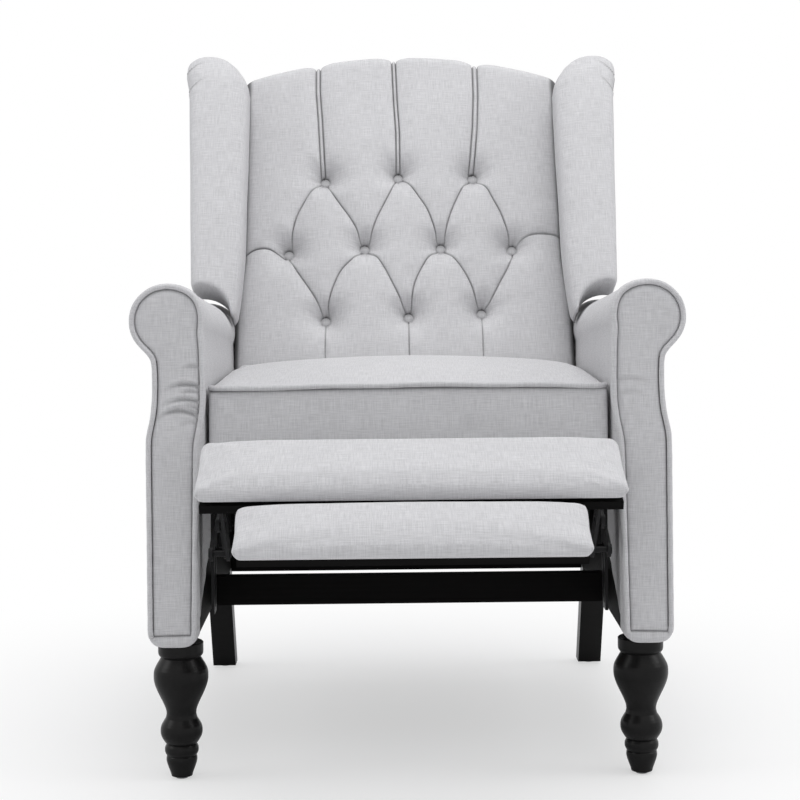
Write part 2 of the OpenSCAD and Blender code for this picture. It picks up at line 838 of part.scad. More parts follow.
module front_link_rivets() {
    color(bright_steel) placed() pair() {
        rivet(front_cross, front_out - link_t, control_out);
        rivet(foot_pivot, bracket_out - link_t, front_out);
    }
}

// Footrest, drawn in the frame of the upper pad: x, b to the rear, n off the face

module in_rest() {
    placed() translate([0, -rest_open_y, rest_open_z]) rotate([rest_slope, 0, 0]) children();
}

module footrest_brackets() {
    pivot = [foot_pivot_b, -foot_pivot_n];
    color(black_steel) in_rest() pair() {
        plate(bracket_out, link_t) difference() {
            union() {
                disc(pivot, link_r);
                translate([pivot[0] - 14, board_low_n - 6]) square([28, 6]);
                polygon([
                    [pivot[0] - 14, board_low_n - 3], [pivot[0] - link_r, pivot[1]],
                    [pivot[0] + link_r, pivot[1]], [pivot[0] + 14, board_low_n - 3]
                ]);
            }
            disc(pivot, rivet_r + rivet_clear);
        }
        box([bracket_out - link_t - 16, -28, board_low_n - 3], [bracket_out - link_t, 52, board_low_n]);
    }
}

module footrest_board() {
    half = rest_half_w - 6;
    color(black_wood) in_rest()
        box([-half, -rest_len / 2 + 4, board_low_n], [half, rest_len / 2 - 8, board_top_n]);
}

module footrest_pad() {
    color(fabric) in_rest() translate([0, 0, -rest_t / 2])
        soft_block(rest_half_w, rest_len, rest_t, 10, rest_crown, 1, 8, 10);
}

hinge_x = [-120, 120];

module hinge_leaves_fixed() {
    color(bright_steel) in_rest() for (x = hinge_x) translate([x, 0, 0]) difference() {
        union() {
            box([-20, flip_hinge_b + 6, board_low_n - leaf_t], [20, flip_hinge_b + 30, board_low_n]);
            for (s = [-1, 1]) {
                rod([flip_hinge_b, -flip_hinge_n], s > 0 ? 7 : -20, s > 0 ? 20 : -7, knuckle_r);
                box(
                    [s > 0 ? 7 : -20, flip_hinge_b + 1, -flip_hinge_n + 1.4],
                    [s > 0 ? 20 : -7, flip_hinge_b + 8, -flip_hinge_n + 2.9]
                );
                box(
                    [s > 0 ? 7 : -20, flip_hinge_b + 6, -flip_hinge_n + 1.4],
                    [s > 0 ? 20 : -7, flip_hinge_b + 8, board_low_n]
                );
            }
        }
        rod([flip_hinge_b, -flip_hinge_n], -21, 21, 1.52);
    }
}

module hinge_pins() {
    color(bright_steel) in_rest() for (x = hinge_x)
        rod([flip_hinge_b, -flip_hinge_n], x - 20, x + 20, 1.5);
}

module hinge_leaves_moving() {
    color(bright_steel) in_rest() for (x = hinge_x) translate([x, 0, 0]) difference() {
        union() {
            rod([flip_hinge_b, -flip_hinge_n], -6.7, 6.7, knuckle_r);
            box([-6.7, flip_hinge_b - 11, flip_board_low_n - leaf_t], [6.7, flip_hinge_b, flip_board_low_n]);
            box([-20, flip_hinge_b - 30, flip_board_low_n - leaf_t], [20, flip_board_rear_b, flip_board_low_n]);
        }
        rod([flip_hinge_b, -flip_hinge_n], -21, 21, 1.55);
    }
}

module second_board() {
    half = flip_half_w - 6;
    color(black_wood) in_rest()
        box(
            [-half, flip_rear_b - flip_len + 4, flip_board_low_n],
            [half, flip_board_rear_b, flip_board_low_n + flip_board_t]
        );
}

module second_pad() {
    color(fabric) in_rest() translate([0, flip_centre_b, flip_pad_low_n])
        soft_block(flip_half_w, flip_len, flip_t, 7, flip_crown, 1, 8, 10);
}

// Back, drawn in its own frame: x, d to the rear, h up along the back

module in_back() {
    placed() translate([0, pivot_y, pivot_z]) rotate([-back_lean, 0, 0]) children();
}

module back_posts() {
    color(raw_wood) in_back() pair()
        box([post_out - post_w, post_front_d, post_low_h], [post_out, post_rear_d, post_top_h]);
}

module back_rails() {
    half = post_out - post_w;
    color(raw_wood) in_back() for (h = [post_low_h, tuft_mid_h + 40, post_top_h - 26])
        box([-half, post_front_d, h], [half, post_rear_d, h + 26]);
}

module back_webbing() {
    color(black_cloth) in_back() for (i = [0:5])
        let(h = post_low_h + web_step * (i + 1))
        box([-post_out, post_front_d - strap_t, h], [post_out, post_front_d, h + web_w]);
}

module back_brackets() {
    color(black_steel) in_back() pair()
        plate(back_half_w, link_t) difference() {
            union() {
                disc([0, 0], -back_pad_rear_d - 0.5);
                translate([post_front_d + 2, 0]) square([30, 100]);
            }
            disc([0, 0], rivet_r + rivet_clear);
        }
}

// Height of the back's top edge at x
function top_at(x) = back_top_h - back_top_arch * pow(x / back_half_w, 2);

// How far the pad's front lies behind its front plane at x, h
function sink(x, h) =
    let(
        p = [x, h],
        tuft_gaps = [for (t = tufts) norm(p - t)],
        tuft = tuft_depth * exp(-pow(max(min(tuft_gaps) - 14.5, 0) / 20, 2)),
        folds = concat(
            [for (a = low_tufts) for (b = mid_tufts) if (abs(a[0] - b[0]) < tuft_pitch) line_gap(p, a, b)],
            [for (a = high_tufts) for (b = mid_tufts) if (abs(a[0] - b[0]) < tuft_pitch) line_gap(p, a, b)]
        ),
        fold = fold_depth * exp(-pow(min(folds) / 10, 2)),
        rises = [for (a = high_tufts) line_gap(p, a, [a[0], back_top_h])],
        channel = channel_depth * exp(-pow(min(rises) / 12, 2)),
        falls = [for (a = low_tufts) line_gap(p, a, [a[0], 0])],
        seam = fold_depth * 0.5 * exp(-pow(min(falls) / 8, 2)),
        edge = 12 * pow(clamp(abs(x) / back_half_w, 0, 1), 8) + 10 * pow(1 - clamp(h / 30, 0, 1), 2)
    )
    max(tuft, fold, channel, seam) + edge;

module back_pad() {
    flat = 10;
    crest = 20;
    half_columns = concat(
        [flat], [for (s = [0.5, 1, 1.5]) each [s * tuft_pitch - flat, s * tuft_pitch + flat]],
        [back_half_w - 45, back_half_w - 25, back_half_w - 10, back_half_w - 3, back_half_w]
    );
    mids = [for (s = [0.25, 0.75, 1.25]) s * tuft_pitch];
    right = [
        0, half_columns[0], mids[0], half_columns[1], half_columns[2], mids[1], half_columns[3],
        half_columns[4], mids[2], half_columns[5], half_columns[6], half_columns[8],
        half_columns[9], half_columns[10], half_columns[11]
    ];
    columns = concat([for (i = [len(right) - 1:-1:1]) -right[i]], right);
    rows = concat(
        [0, 10, 25, 50, 75], [for (t = [tuft_low_h, tuft_mid_h, tuft_high_h]) each [t - flat, t + flat]],
        [for (k = [1:3]) tuft_low_h + tuft_low_step * k / 4],
        [for (k = [1:3]) tuft_mid_h + tuft_high_step * k / 4],
        [for (k = [1:4]) tuft_high_h + 25 + (back_top_h - back_top_arch - crest - tuft_high_h - 35) * k / 4]
    );
    sorted_rows = sort_numbers(rows);
    color(fabric) in_back()
        loft([
            for (x = columns)
                let(
                    inset = abs(x) > back_half_w - 2 ? 6 : 0,
                    top = top_at(x) - inset,
                    front = [for (h = sorted_rows) [x, -back_front_d + sink(x, h) + inset, h]],
                    crown_d = -back_front_d + sink(x, top - crest) + crest + inset,
                    over = [
                        for (a = [180:-30:90])
                            [x, crown_d + crest * cos(a), top - crest + crest * sin(a)]
                    ],
                    rear = [
                        [x, post_rear_d - 14, top], [x, post_rear_d - soft_gap, top - 10],
                        [x, post_rear_d - soft_gap, post_top_h + soft_gap],
                        [x, back_pad_rear_d, post_top_h + soft_gap], [x, back_pad_rear_d, 0]
                    ]
                )
                concat(front, over, rear)
        ]);
}

function sort_numbers(v) =
    len(v) <= 1 ? v :
    let(
        pivot = v[0],
        less = [for (i = [1:len(v) - 1]) if (v[i] < pivot) v[i]],
        more = [for (i = [1:len(v) - 1]) if (v[i] >= pivot) v[i]]
    )
    concat(sort_numbers(less), [pivot], sort_numbers(more));

module tuft_buttons() {
    seat_d = -back_front_d + tuft_depth;
    color(fabric) in_back() for (t = tufts)
        translate([t[0], seat_d - soft_gap, t[1]]) rotate([90, 0, 0])
            rotate_extrude($fn = bore_fn) polygon(concat(
                [[0, 0], [button_r - 1, 0], [button_r, 1.5]],
                [for (a = [15:15:90]) [button_r * cos(a), 1.5 + 6 * sin(a)]]
            ));
}

// Outside back: a flat panel with an arched top
module back_outside_panel() {
    low = post_low_h - 30;
    half = back_half_w - 0.3;
    color(fabric) in_back() translate([0, back_rear_d, 0]) rotate([90, 0, 0]) linear_extrude(panel_t)
        polygon(concat(
            [[-half, low], [half, low]],
            [for (i = [0:12]) let(x = half * (1 - i / 6)) [x, top_at(x) - back_top_h + panel_top_h]]
        ));
}

board_in = wing_in + 30;
wing_board_t = 10;
cleat_low_h = [270, 440];
cleat_d = 22;
cleat_h = 44;
board_inset = 40;
board_rise = 22;
board_drop = 60;

// Underside of a wing: it follows the arm's roll, and keeps clear of it in every position of the back
wing_notch_d = -60;
function wing_low_h(x, d) =
    let(
        across = min(abs(x - roll_x), roll_r),
        fall = roll_r - sqrt(pow(roll_r, 2) - pow(across, 2)),
        along = d < wing_notch_d ? 0.135 * (d - wing_notch_d) : 0.75 * (min(d, 20) - wing_notch_d)
    )
    wing_bottom_h - 1.05 * fall + along;

// Wing: rings run from its underside to its rounded top

function wing_section(t, inset) =
    let(
        out = wing_out - wing_taper * (1 - t) - inset,
        in = wing_in + wing_flare * pow(1 - clamp(t / 0.25, 0, 1), 1.5) + inset,
        front = -wing_front_d + 18 * pow(t, 6) + inset,
        rear = post_rear_d - inset,
        r = (out - in) / 2 - 0.01
    )
    concat(
        arc(in + r, front + r, r, 180, 360, 10),
        [[out, -40], [out, 0], [out - 2, rear - 8], [out - 10, rear], [in, rear], [in, 0], [in, -60]]
    );

module wing_pad() {
    levels = [[0, 5], [0.02, 2], [0.06, 0], [0.25, 0], [0.5, 0], [0.7, 0], [0.85, 0], [0.93, 2], [0.97, 8], [0.99, 18], [1, 30]];
    color(fabric) in_back() difference() {
        loft([
            for (k = levels)
                [
                    for (p = wing_section(k[0], k[1]))
                        let(low = wing_low_h(p[0], p[1])) [p[0], p[1], low + (wing_top_h - low) * k[0]]
                ]
        ], true);
        wing_board_shape(soft_gap);
    }
}

// Board inside a wing with the cleats that carry it on the back post, made larger all round by gap
module wing_board_shape(gap) {
    front = -wing_front_d + board_inset;
    plate(board_in + wing_board_t + gap, wing_board_t + 2 * gap) polygon([
        [front - gap, wing_low_h(board_in, front) + board_rise - gap],
        [post_rear_d, wing_low_h(board_in, post_rear_d) + board_rise - gap],
        [post_rear_d, wing_top_h - board_drop + gap], [front - gap, wing_top_h - board_drop + gap]
    ]);
    for (h = cleat_low_h)
        box([post_out, post_rear_d - cleat_d - gap, h - gap], [board_in + 1, post_rear_d, h + cleat_h + gap]);
}

module wing_boards() {
    color(raw_wood) in_back() pair() wing_board_shape(0);
}

side_frame();  // side_frame_left
mirror([1, 0, 0]) side_frame();  // side_frame_right
corner_blocks();
arm_pad();  // arm_pad_left
mirror([1, 0, 0]) arm_pad();  // arm_pad_right
arm_facing();  // arm_facing_left
mirror([1, 0, 0]) arm_facing();  // arm_facing_right
outside_arm_panel();  // outside_arm_panel_left
mirror([1, 0, 0]) outside_arm_panel();  // outside_arm_panel_right
front_cross_rail();
rear_apron();
rear_apron_cover();
front_leg();  // front_leg_left
mirror([1, 0, 0]) front_leg();  // front_leg_right
rear_leg();  // rear_leg_left
mirror([1, 0, 0]) rear_leg();  // rear_leg_right
glides();
hanger_bolts();
mechanism_rail();  // mechanism_rail_left
mirror([1, 0, 0]) mechanism_rail();  // mechanism_rail_right
mechanism_screws();
base_rivets();
swing_links(swing_front_y);  // front_swing_links
swing_links(swing_rear_y);  // rear_swing_links
seat_side_plate();  // seat_side_plate_left
mirror([1, 0, 0]) seat_side_plate();  // seat_side_plate_right
seat_rivets();
seat_side_rails();
seat_cross_rail(seat_front_y);  // seat_front_rail
seat_cross_rail(seat_rear_y - seat_rail_w);  // seat_rear_rail
seat_springs();
spring_clips();
deck_cloth();
seat_cushion();
rear_links();
torque_tube();
rear_link_rivets();
crossing_links();
crossing_link_rivets();
control_links();
front_links();
front_link_rivets();
footrest_brackets();
footrest_board();
footrest_pad();
hinge_leaves_fixed();
hinge_pins();
hinge_leaves_moving();
second_board();
second_pad();
back_posts();
back_rails();
back_webbing();
back_brackets();
back_pad();
tuft_buttons();
back_outside_panel();
wing_pad();  // wing_left
mirror([1, 0, 0]) wing_pad();  // wing_right
wing_boards();
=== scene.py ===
# %% [markdown]
# # Dressing a push-back wing recliner
# The frame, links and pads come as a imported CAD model, which stays as it is. This
# script puts the upholstery over it: tufted back, wings, rolled arms with welts,
# boxed cushion and two footrest pads, and it finishes wood, steel and cloth.
# Lengths are written in millimetres and turned into metres when a mesh is made.

import json
import math

import bmesh
import bpy
import numpy as np
from mathutils import Matrix, Vector


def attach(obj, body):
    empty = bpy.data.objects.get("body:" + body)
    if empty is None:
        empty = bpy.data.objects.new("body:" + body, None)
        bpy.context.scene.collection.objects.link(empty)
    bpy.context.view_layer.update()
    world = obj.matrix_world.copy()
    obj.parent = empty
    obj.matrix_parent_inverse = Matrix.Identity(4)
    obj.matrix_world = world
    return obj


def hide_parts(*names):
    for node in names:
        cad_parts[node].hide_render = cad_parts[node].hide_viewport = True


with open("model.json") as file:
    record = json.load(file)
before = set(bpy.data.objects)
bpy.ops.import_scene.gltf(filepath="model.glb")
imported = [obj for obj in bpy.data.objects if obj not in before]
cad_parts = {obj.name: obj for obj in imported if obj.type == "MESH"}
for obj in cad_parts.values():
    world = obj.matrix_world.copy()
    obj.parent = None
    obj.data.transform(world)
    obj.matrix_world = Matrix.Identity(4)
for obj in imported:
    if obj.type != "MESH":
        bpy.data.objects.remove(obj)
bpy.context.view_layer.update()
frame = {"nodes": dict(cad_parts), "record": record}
nodes = frame["nodes"]
scene = bpy.context.scene
MM = 0.001
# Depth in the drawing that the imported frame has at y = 0
MIDDLE_Y = 242.399

# %% [markdown]
# The camera stands 2.35 m in front of the arms, at about the height of the seat back.
# It looks level with a long lens that is shifted down, as the upright edges in the
# photograph stay parallel. It is held about half a degree out of true. It comes first,
# so that every later picture is taken from the same place.

# %% Camera
camera_data = bpy.data.cameras.new("camera")
camera = bpy.data.objects.new("camera", camera_data)
scene.collection.objects.link(camera)
camera.location = (-0.024, -2.350 - MIDDLE_Y * MM, 0.680)
camera.rotation_euler = (math.radians(90), math.radians(0.62), 0)
camera_data.shift_x = 0.0155
camera_data.shift_y = -0.19375
camera_data.sensor_width = 36
camera_data.lens = 83.97
camera_data.clip_end = 60
scene.camera = camera
scene.view_settings.view_transform = "Standard"


# %% Helpers for shader nodes
def new_material(name):
    """A material with its tree and Principled shader."""
    material = bpy.data.materials.new(name)
    material.use_nodes = True
    return material, material.node_tree, material.node_tree.nodes["Principled BSDF"]


def wire(tree, made, sockets):
    """Gives sockets of a node a number or a source: sockets is (socket, number or source) pairs."""
    for socket, source in sockets:
        if isinstance(source, bpy.types.NodeSocket):
            tree.links.new(source, made.inputs[socket])
        else:
            made.inputs[socket].default_value = source


def node(tree, kind, sockets=(), **values):
    """Adds a node and sets its properties and sockets."""
    made = tree.nodes.new(kind)
    for key, value in values.items():
        setattr(made, key, value)
    wire(tree, made, sockets)
    return made


def maths(tree, operation, *sources, clamp=False):
    """Result of a Math node."""
    return node(tree, "ShaderNodeMath", enumerate(sources), operation=operation, use_clamp=clamp).outputs[0]


def noise(tree, vector, scale, detail, roughness=0.5):
    """Factor of a noise texture."""
    return node(tree, "ShaderNodeTexNoise", [("Vector", vector), ("Scale", scale), ("Detail", detail),
                                             ("Roughness", roughness)]).outputs[0]


def ranged(tree, source, to_min=0.0, to_max=1.0, from_min=0.0, from_max=1.0):
    """Result of a Map Range node."""
    return node(tree, "ShaderNodeMapRange", [
        (0, source), ("From Min", from_min), ("From Max", from_max), ("To Min", to_min), ("To Max", to_max)]).outputs[0]


def mixed(tree, factor, first, second):
    """Colour mix of two sources by a factor."""
    return node(tree, "ShaderNodeMix", [(0, factor), (6, first), (7, second)], data_type="RGBA").outputs[2]


def bumped(tree, shader, height, strength, distance):
    """Lets a height bend the shader's normal."""
    bump = node(tree, "ShaderNodeBump", [("Height", height), ("Strength", strength), ("Distance", distance)])
    wire(tree, shader, [("Normal", bump.outputs[0])])


# %% [markdown]
# A studio floor and wall that burn out to white still keep a soft shadow. The floor
# is a pale matt surface, and the world is white where the camera, or a polished
# surface, sees it.

# %% World, floor and lamps
WHITE = (1, 1, 1, 1)
world = bpy.data.worlds.new("studio")
scene.world = world
world.use_nodes = True
sky = world.node_tree
background = sky.nodes["Background"]
wire(sky, background, [("Color", (0.97, 0.98, 1.0, 1)), ("Strength", 0.60)])
seen = node(sky, "ShaderNodeBackground", [("Color", WHITE), ("Strength", 1.0)])
rays = node(sky, "ShaderNodeLightPath").outputs
direct = maths(sky, "MAXIMUM", rays["Is Camera Ray"], rays["Is Transmission Ray"])
direct = maths(sky, "MAXIMUM", direct, rays["Is Glossy Ray"])
choose = node(sky, "ShaderNodeMixShader", [(0, direct), (1, background.outputs[0]), (2, seen.outputs[0])])
wire(sky, sky.nodes["World Output"], [("Surface", choose.outputs[0])])

bpy.ops.mesh.primitive_plane_add(size=24, location=(0, 4, 0))
floor = bpy.context.object
floor.name = "floor"
floor_look, tree, shader = new_material("floor_white")
wire(tree, shader, [("Base Color", (0.9, 0.9, 0.9, 1)), ("Roughness", 0.6), ("Specular IOR Level", 0.1)])
glow = node(tree, "ShaderNodeEmission", [("Color", WHITE), ("Strength", 1.0)])
# The camera sees pure white away from the chair
spot = node(tree, "ShaderNodeTexCoord")
squeeze = node(tree, "ShaderNodeMapping", [("Vector", spot.outputs["Object"]), ("Location", (0, 3.95, 0))])
away = node(tree, "ShaderNodeVectorMath", [(0, squeeze.outputs[0])], operation="LENGTH")
fade = node(tree, "ShaderNodeMapRange", [
    ("Value", away.outputs["Value"]), ("From Min", 0.25), ("From Max", 1.15), ("To Min", 0.5), ("To Max", 1.0)],
    interpolation_type="SMOOTHSTEP")
share = maths(tree, "MULTIPLY", node(tree, "ShaderNodeLightPath").outputs["Is Camera Ray"], fade.outputs[0])
to_white = node(tree, "ShaderNodeMixShader", [(0, share), (1, shader.outputs[0]), (2, glow.outputs[0])])
wire(tree, tree.nodes["Material Output"], [("Surface", to_white.outputs[0])])
floor.data.materials.append(floor_look)


def lamp(name, place, aim, size, watts):
    """A square area lamp at place that shines towards aim."""
    data = bpy.data.lights.new(name, "AREA")
    data.size = size
    data.energy = watts
    lamp_object = bpy.data.objects.new(name, data)
    scene.collection.objects.link(lamp_object)
    lamp_object.location = place
    lamp_object.rotation_euler = (Vector(aim) - Vector(place)).to_track_quat("-Z", "Y").to_euler()


lamp("top_lamp", (0.3, -0.6, 3.2), (0, 0, 0.4), 2.4, 44)
lamp("front_left", (-3.2, -0.6, 2.2), (0, 0, 0.5), 1.5, 18)
lamp("front_right", (3.2, -0.5, 2.4), (0, 0, 0.5), 1.5, 21)

# %% [markdown]
# ## Finishes
# Effects that several finishes share are node groups: a plain weave with slubs for
# the linen, grain for wood, and fine scratches for steel. Each puts out a colour
# factor and a height, and every material gives them its own numbers.

# %% Linen weave
FLOAT, COLOUR, VECTOR = "NodeSocketFloat", "NodeSocketColor", "NodeSocketVector"


def new_group(name, inputs, outputs):
    """A shader node group with named sockets, its input sockets to read from and its output node."""
    group = bpy.data.node_groups.new(name, "ShaderNodeTree")
    for label, kind, value in inputs:
        group.interface.new_socket(label, in_out="INPUT", socket_type=kind).default_value = value
    for label, kind in outputs:
        group.interface.new_socket(label, in_out="OUTPUT", socket_type=kind)
    return group, group.nodes.new("NodeGroupInput").outputs, group.nodes.new("NodeGroupOutput")


def linen_group():
    """Plain weave of uneven yarns: warp and weft as waves, yarns that differ, slubs along them."""
    group, source, sink = new_group(
        "linen_weave",
        [("Thread", FLOAT, 1.1), ("Light", COLOUR, (0.75, 0.75, 0.77, 1)), ("Dark", COLOUR, (0.5, 0.5, 0.52, 1)),
         ("Heather", FLOAT, 0.5)],
        [("Color", COLOUR), ("Height", FLOAT)])
    cloth = node(group, "ShaderNodeUVMap", uv_map="weave").outputs[0]
    split = node(group, "ShaderNodeSeparateXYZ", [(0, cloth)])
    # UV is in millimetres; a yarn takes half of a wave
    per_mm = maths(group, "DIVIDE", math.pi, source["Thread"])
    yarns, streaks = [], []
    for axis, stretch in ((0, (0.9, 0.045, 1)), (1, (0.045, 0.9, 1))):
        wave = maths(group, "SINE", maths(group, "MULTIPLY", split.outputs[axis], per_mm))
        yarns.append(maths(group, "ABSOLUTE", wave))
        along = node(group, "ShaderNodeMapping", [(0, cloth), ("Scale", stretch)])
        streaks.append(noise(group, along.outputs[0], 1.0, 3.0, 0.6))
    crossing = maths(group, "MULTIPLY", *yarns)
    slub = ranged(group, maths(group, "ADD", *streaks), from_min=0.75, from_max=1.25)
    tone = maths(group, "MULTIPLY", slub, source["Heather"])
    dark = maths(group, "ADD", tone, ranged(group, crossing, 0.45, 0.0))
    drift = ranged(group, noise(group, cloth, 0.012, 2.0), -0.08, 0.08)
    final = maths(group, "ADD", dark, drift, clamp=True)
    wire(group, sink, [("Color", mixed(group, final, source["Light"], source["Dark"])),
                       ("Height", maths(group, "ADD", crossing, slub))])
    return group


LINEN = linen_group()


def linen_look(name, light, dark):
    """Upholstery linen: rough, with a soft sheen and a raised weave, and with painted shade: its colour is painted
    darker where a vertex attribute marks shade in a seam, fold or dimple.
    """
    material, tree, shader = new_material(name)
    weave = node(tree, "ShaderNodeGroup", node_tree=LINEN)
    wire(tree, weave, [("Thread", 0.9), ("Light", light), ("Dark", dark), ("Heather", 0.55)])
    wear_and_painted_shade = node(tree, "ShaderNodeAttribute", attribute_name="painted_shade")
    # Colour of the painted shade in seams, folds and dimples
    deep = tuple(0.12 * k for k in light[:3]) + (1,)
    wire(tree, shader, [
        ("Base Color", mixed(tree, wear_and_painted_shade.outputs["Fac"], weave.outputs["Color"], deep)), ("Roughness", 0.92),
        ("Specular IOR Level", 0.2), ("Sheen Weight", 0.12), ("Sheen Roughness", 0.5)])
    bumped(tree, shader, weave.outputs["Height"], 0.6, 0.0002)
    return material


linen = linen_look("linen", (0.755, 0.75, 0.762, 1), (0.46, 0.456, 0.468, 1))

# %% [markdown]
# The legs and rails are lacquered black over wood, so a faint grain stays in the
# surface and the gloss is satin. The hidden frame is plain sawn wood with rings.

# %% Wood
def grain_group():
    """Grain along Z of the object's coordinates: rings, stretched fibres and pores."""
    group, source, sink = new_group(
        "wood_grain",
        [("Light", COLOUR, (0.5, 0.33, 0.18, 1)), ("Dark", COLOUR, (0.3, 0.18, 0.09, 1)), ("Rings", FLOAT, 40.0),
         ("Along", VECTOR, (1.0, 1.0, 0.08))],
        [("Color", COLOUR), ("Height", FLOAT)])
    place = node(group, "ShaderNodeTexCoord").outputs["Object"]
    stretched = node(group, "ShaderNodeVectorMath", [(0, place), (1, source["Along"])], operation="MULTIPLY").outputs[0]
    ring = node(group, "ShaderNodeTexWave", [
        ("Vector", stretched), ("Scale", source["Rings"]), ("Distortion", 5.0), ("Detail", 2.0)], wave_type="RINGS")
    total = maths(group, "MULTIPLY_ADD", ring.outputs["Fac"], 0.5, noise(group, stretched, 420.0, 3.0))
    level = maths(group, "MULTIPLY", total, noise(group, stretched, 9.0, 2.0), clamp=True)
    wire(group, sink, [("Color", mixed(group, level, source["Light"], source["Dark"])), ("Height", total)])
    return group


GRAIN = grain_group()


def wood_look(name, light, dark, roughness, gloss=0.5, rings=40.0, depth=0.0001, along=(1.0, 1.0, 0.08)):
    """Wood with the shared grain."""
    material, tree, shader = new_material(name)
    grain = node(tree, "ShaderNodeGroup", node_tree=GRAIN)
    wire(tree, grain, [("Light", light), ("Dark", dark), ("Rings", rings), ("Along", along)])
    height = grain.outputs["Height"]
    wire(tree, shader, [
        ("Base Color", grain.outputs["Color"]),
        ("Roughness", ranged(tree, height, roughness - 0.05, roughness + 0.08, from_max=1.5)),
        ("Specular IOR Level", gloss)])
    bumped(tree, shader, height, 0.3, depth)
    return material


black_lacquer = wood_look("black_lacquer", (0.008, 0.0075, 0.0075, 1), (0.004, 0.004, 0.004, 1), 0.3, gloss=0.16)
black_rail = wood_look("black_rail", (0.006, 0.0055, 0.0055, 1), (0.003, 0.003, 0.003, 1), 0.62, gloss=0.05,
                       along=(0.08, 1.0, 1.0))
raw_wood = wood_look("raw_wood", (0.62, 0.43, 0.25, 1), (0.40, 0.25, 0.13, 1), 0.7, rings=30.0, depth=0.0003)

# %% [markdown]
# Steel links are enamelled black, and rivets, springs and hinges are zinc plated.
# Both have fine scratches and a little soft variation in their gloss.

# %% Steel, cloth and plastic
def wear_group():
    """Fine scratches and cloudy wear as a mask and a height."""
    group, source, sink = new_group(
        "fine_wear", [("Scale", FLOAT, 60.0), ("Amount", FLOAT, 1.0)], [("Mask", FLOAT), ("Height", FLOAT)])
    place = node(group, "ShaderNodeTexCoord").outputs["Object"]
    long = node(group, "ShaderNodeMapping", [(0, place), ("Scale", (900.0, 60.0, 60.0))])
    scratch = noise(group, long.outputs[0], 1.0, 2.0)
    both = maths(group, "MULTIPLY", noise(group, place, source["Scale"], 4.0), scratch)
    wire(group, sink, [("Mask", maths(group, "MULTIPLY", both, source["Amount"])), ("Height", scratch)])
    return group


WEAR = wear_group()


def worn_look(name, colour, wear_and_painted_shade, metallic, roughness, gloss=0.5):
    """A hard finish with cloudy wear in colour and gloss."""
    material, tree, shader = new_material(name)
    wear = node(tree, "ShaderNodeGroup", [("Scale", 60.0), ("Amount", 1.0)], node_tree=WEAR)
    mask = wear.outputs["Mask"]
    wire(tree, shader, [
        ("Base Color", mixed(tree, mask, colour, wear_and_painted_shade)), ("Metallic", metallic),
        ("Roughness", ranged(tree, mask, roughness, roughness + 0.25)), ("Specular IOR Level", gloss)])
    bumped(tree, shader, wear.outputs["Height"], 0.15, 0.0001)
    return material


black_enamel = worn_look("black_enamel", (0.008, 0.008, 0.0085, 1), (0.02, 0.02, 0.021, 1), 0.0, 0.34, gloss=0.14)
zinc = worn_look("zinc_plate", (0.5, 0.51, 0.53, 1), (0.33, 0.34, 0.36, 1), 1.0, 0.3)
grey_plastic = worn_look("grey_plastic", (0.42, 0.42, 0.42, 1), (0.3, 0.3, 0.3, 1), 0.0, 0.5)


def backing_look():
    """Thin black non-woven cloth: pressed dimples in a fibrous felt."""
    material, tree, shader = new_material("black_cloth")
    place = node(tree, "ShaderNodeTexCoord").outputs["Object"]
    dimple = node(tree, "ShaderNodeTexVoronoi", [("Vector", place), ("Scale", 420.0)])
    felt = noise(tree, place, 900.0, 4.0)
    wire(tree, shader, [("Base Color", mixed(tree, felt, (0.01, 0.01, 0.01, 1), (0.035, 0.035, 0.035, 1))),
                        ("Roughness", 0.95)])
    bumped(tree, shader, dimple.outputs[0], 0.5, 0.0004)
    return material


FINISH = {
    "linen": linen, "black_wood": black_lacquer, "raw_wood": raw_wood, "black_steel": black_enamel,
    "bright_steel": zinc, "black_cloth": backing_look(), "grey_plastic": grey_plastic,
}


def dress(piece, material):
    """Gives a piece one material."""
    piece.data.materials.clear()
    piece.data.materials.append(material)


for part in frame["record"]["subparts"]:
    dress(nodes[part["node"]], FINISH[part["material_slot"]])
for name in ("front_cross_rail", "rear_apron", "side_frame_left", "side_frame_right", "footrest_board", "second_board"):
    dress(nodes[name], black_rail)
dress(nodes["seat_front_rail"], linen)
for name in ("front_link_rivets", "crossing_link_rivets", "rear_link_rivets", "seat_rivets", "base_rivets"):
    dress(nodes[name], black_enamel)
print("finished CAD nodes:", len(nodes))

# %% [markdown]
# ## From drawing to mesh
# Each soft piece is drawn in the frame that suits it: the base stands upright, the
# back leans, and the footrest slopes. One matrix for each puts the points in place.

# %% Places and mesh helpers
BACK_LEAN, REST_SLOPE = 27, 21
BASE = Matrix.Translation((0, -MIDDLE_Y * MM, 0))


def leaning(y, z, degrees):
    """Frame whose origin lies at (y, z), turned about X."""
    return Matrix.Translation((0, (y - MIDDLE_Y) * MM, z * MM)) @ Matrix.Rotation(math.radians(degrees), 4, "X")


BACK = leaning(492, 455, -BACK_LEAN)
REST = leaning(-157, 415.5, REST_SLOPE)
SIDES = {1: "left", -1: "right"}


def unit(x):
    """x cut to between 0 and 1."""
    return np.clip(x, 0, 1)


def bell(x, width):
    """Bell curve: 1 where x is 0, about a third at the width."""
    return np.exp(-((x / width) ** 2))


def only(*pieces):
    """Makes pieces the ones that operators act on."""
    for thing in bpy.context.selected_objects:
        thing.select_set(False)
    for piece in pieces:
        piece.select_set(True)
    bpy.context.view_layer.objects.active = pieces[0]


def to_object(name, mesh):
    """Object of a mesh; its origin stays at the middle of the frame."""
    piece = bpy.data.objects.new(name, mesh)
    scene.collection.objects.link(piece)
    return piece


def to_mesh(name, points, faces, place=BASE):
    """Object from points in mm and faces, put in place."""
    mesh = bpy.data.meshes.new(name)
    mesh.from_pydata([tuple(place @ Vector([float(k) * MM for k in p])) for p in points], [], faces)
    return to_object(name, mesh)


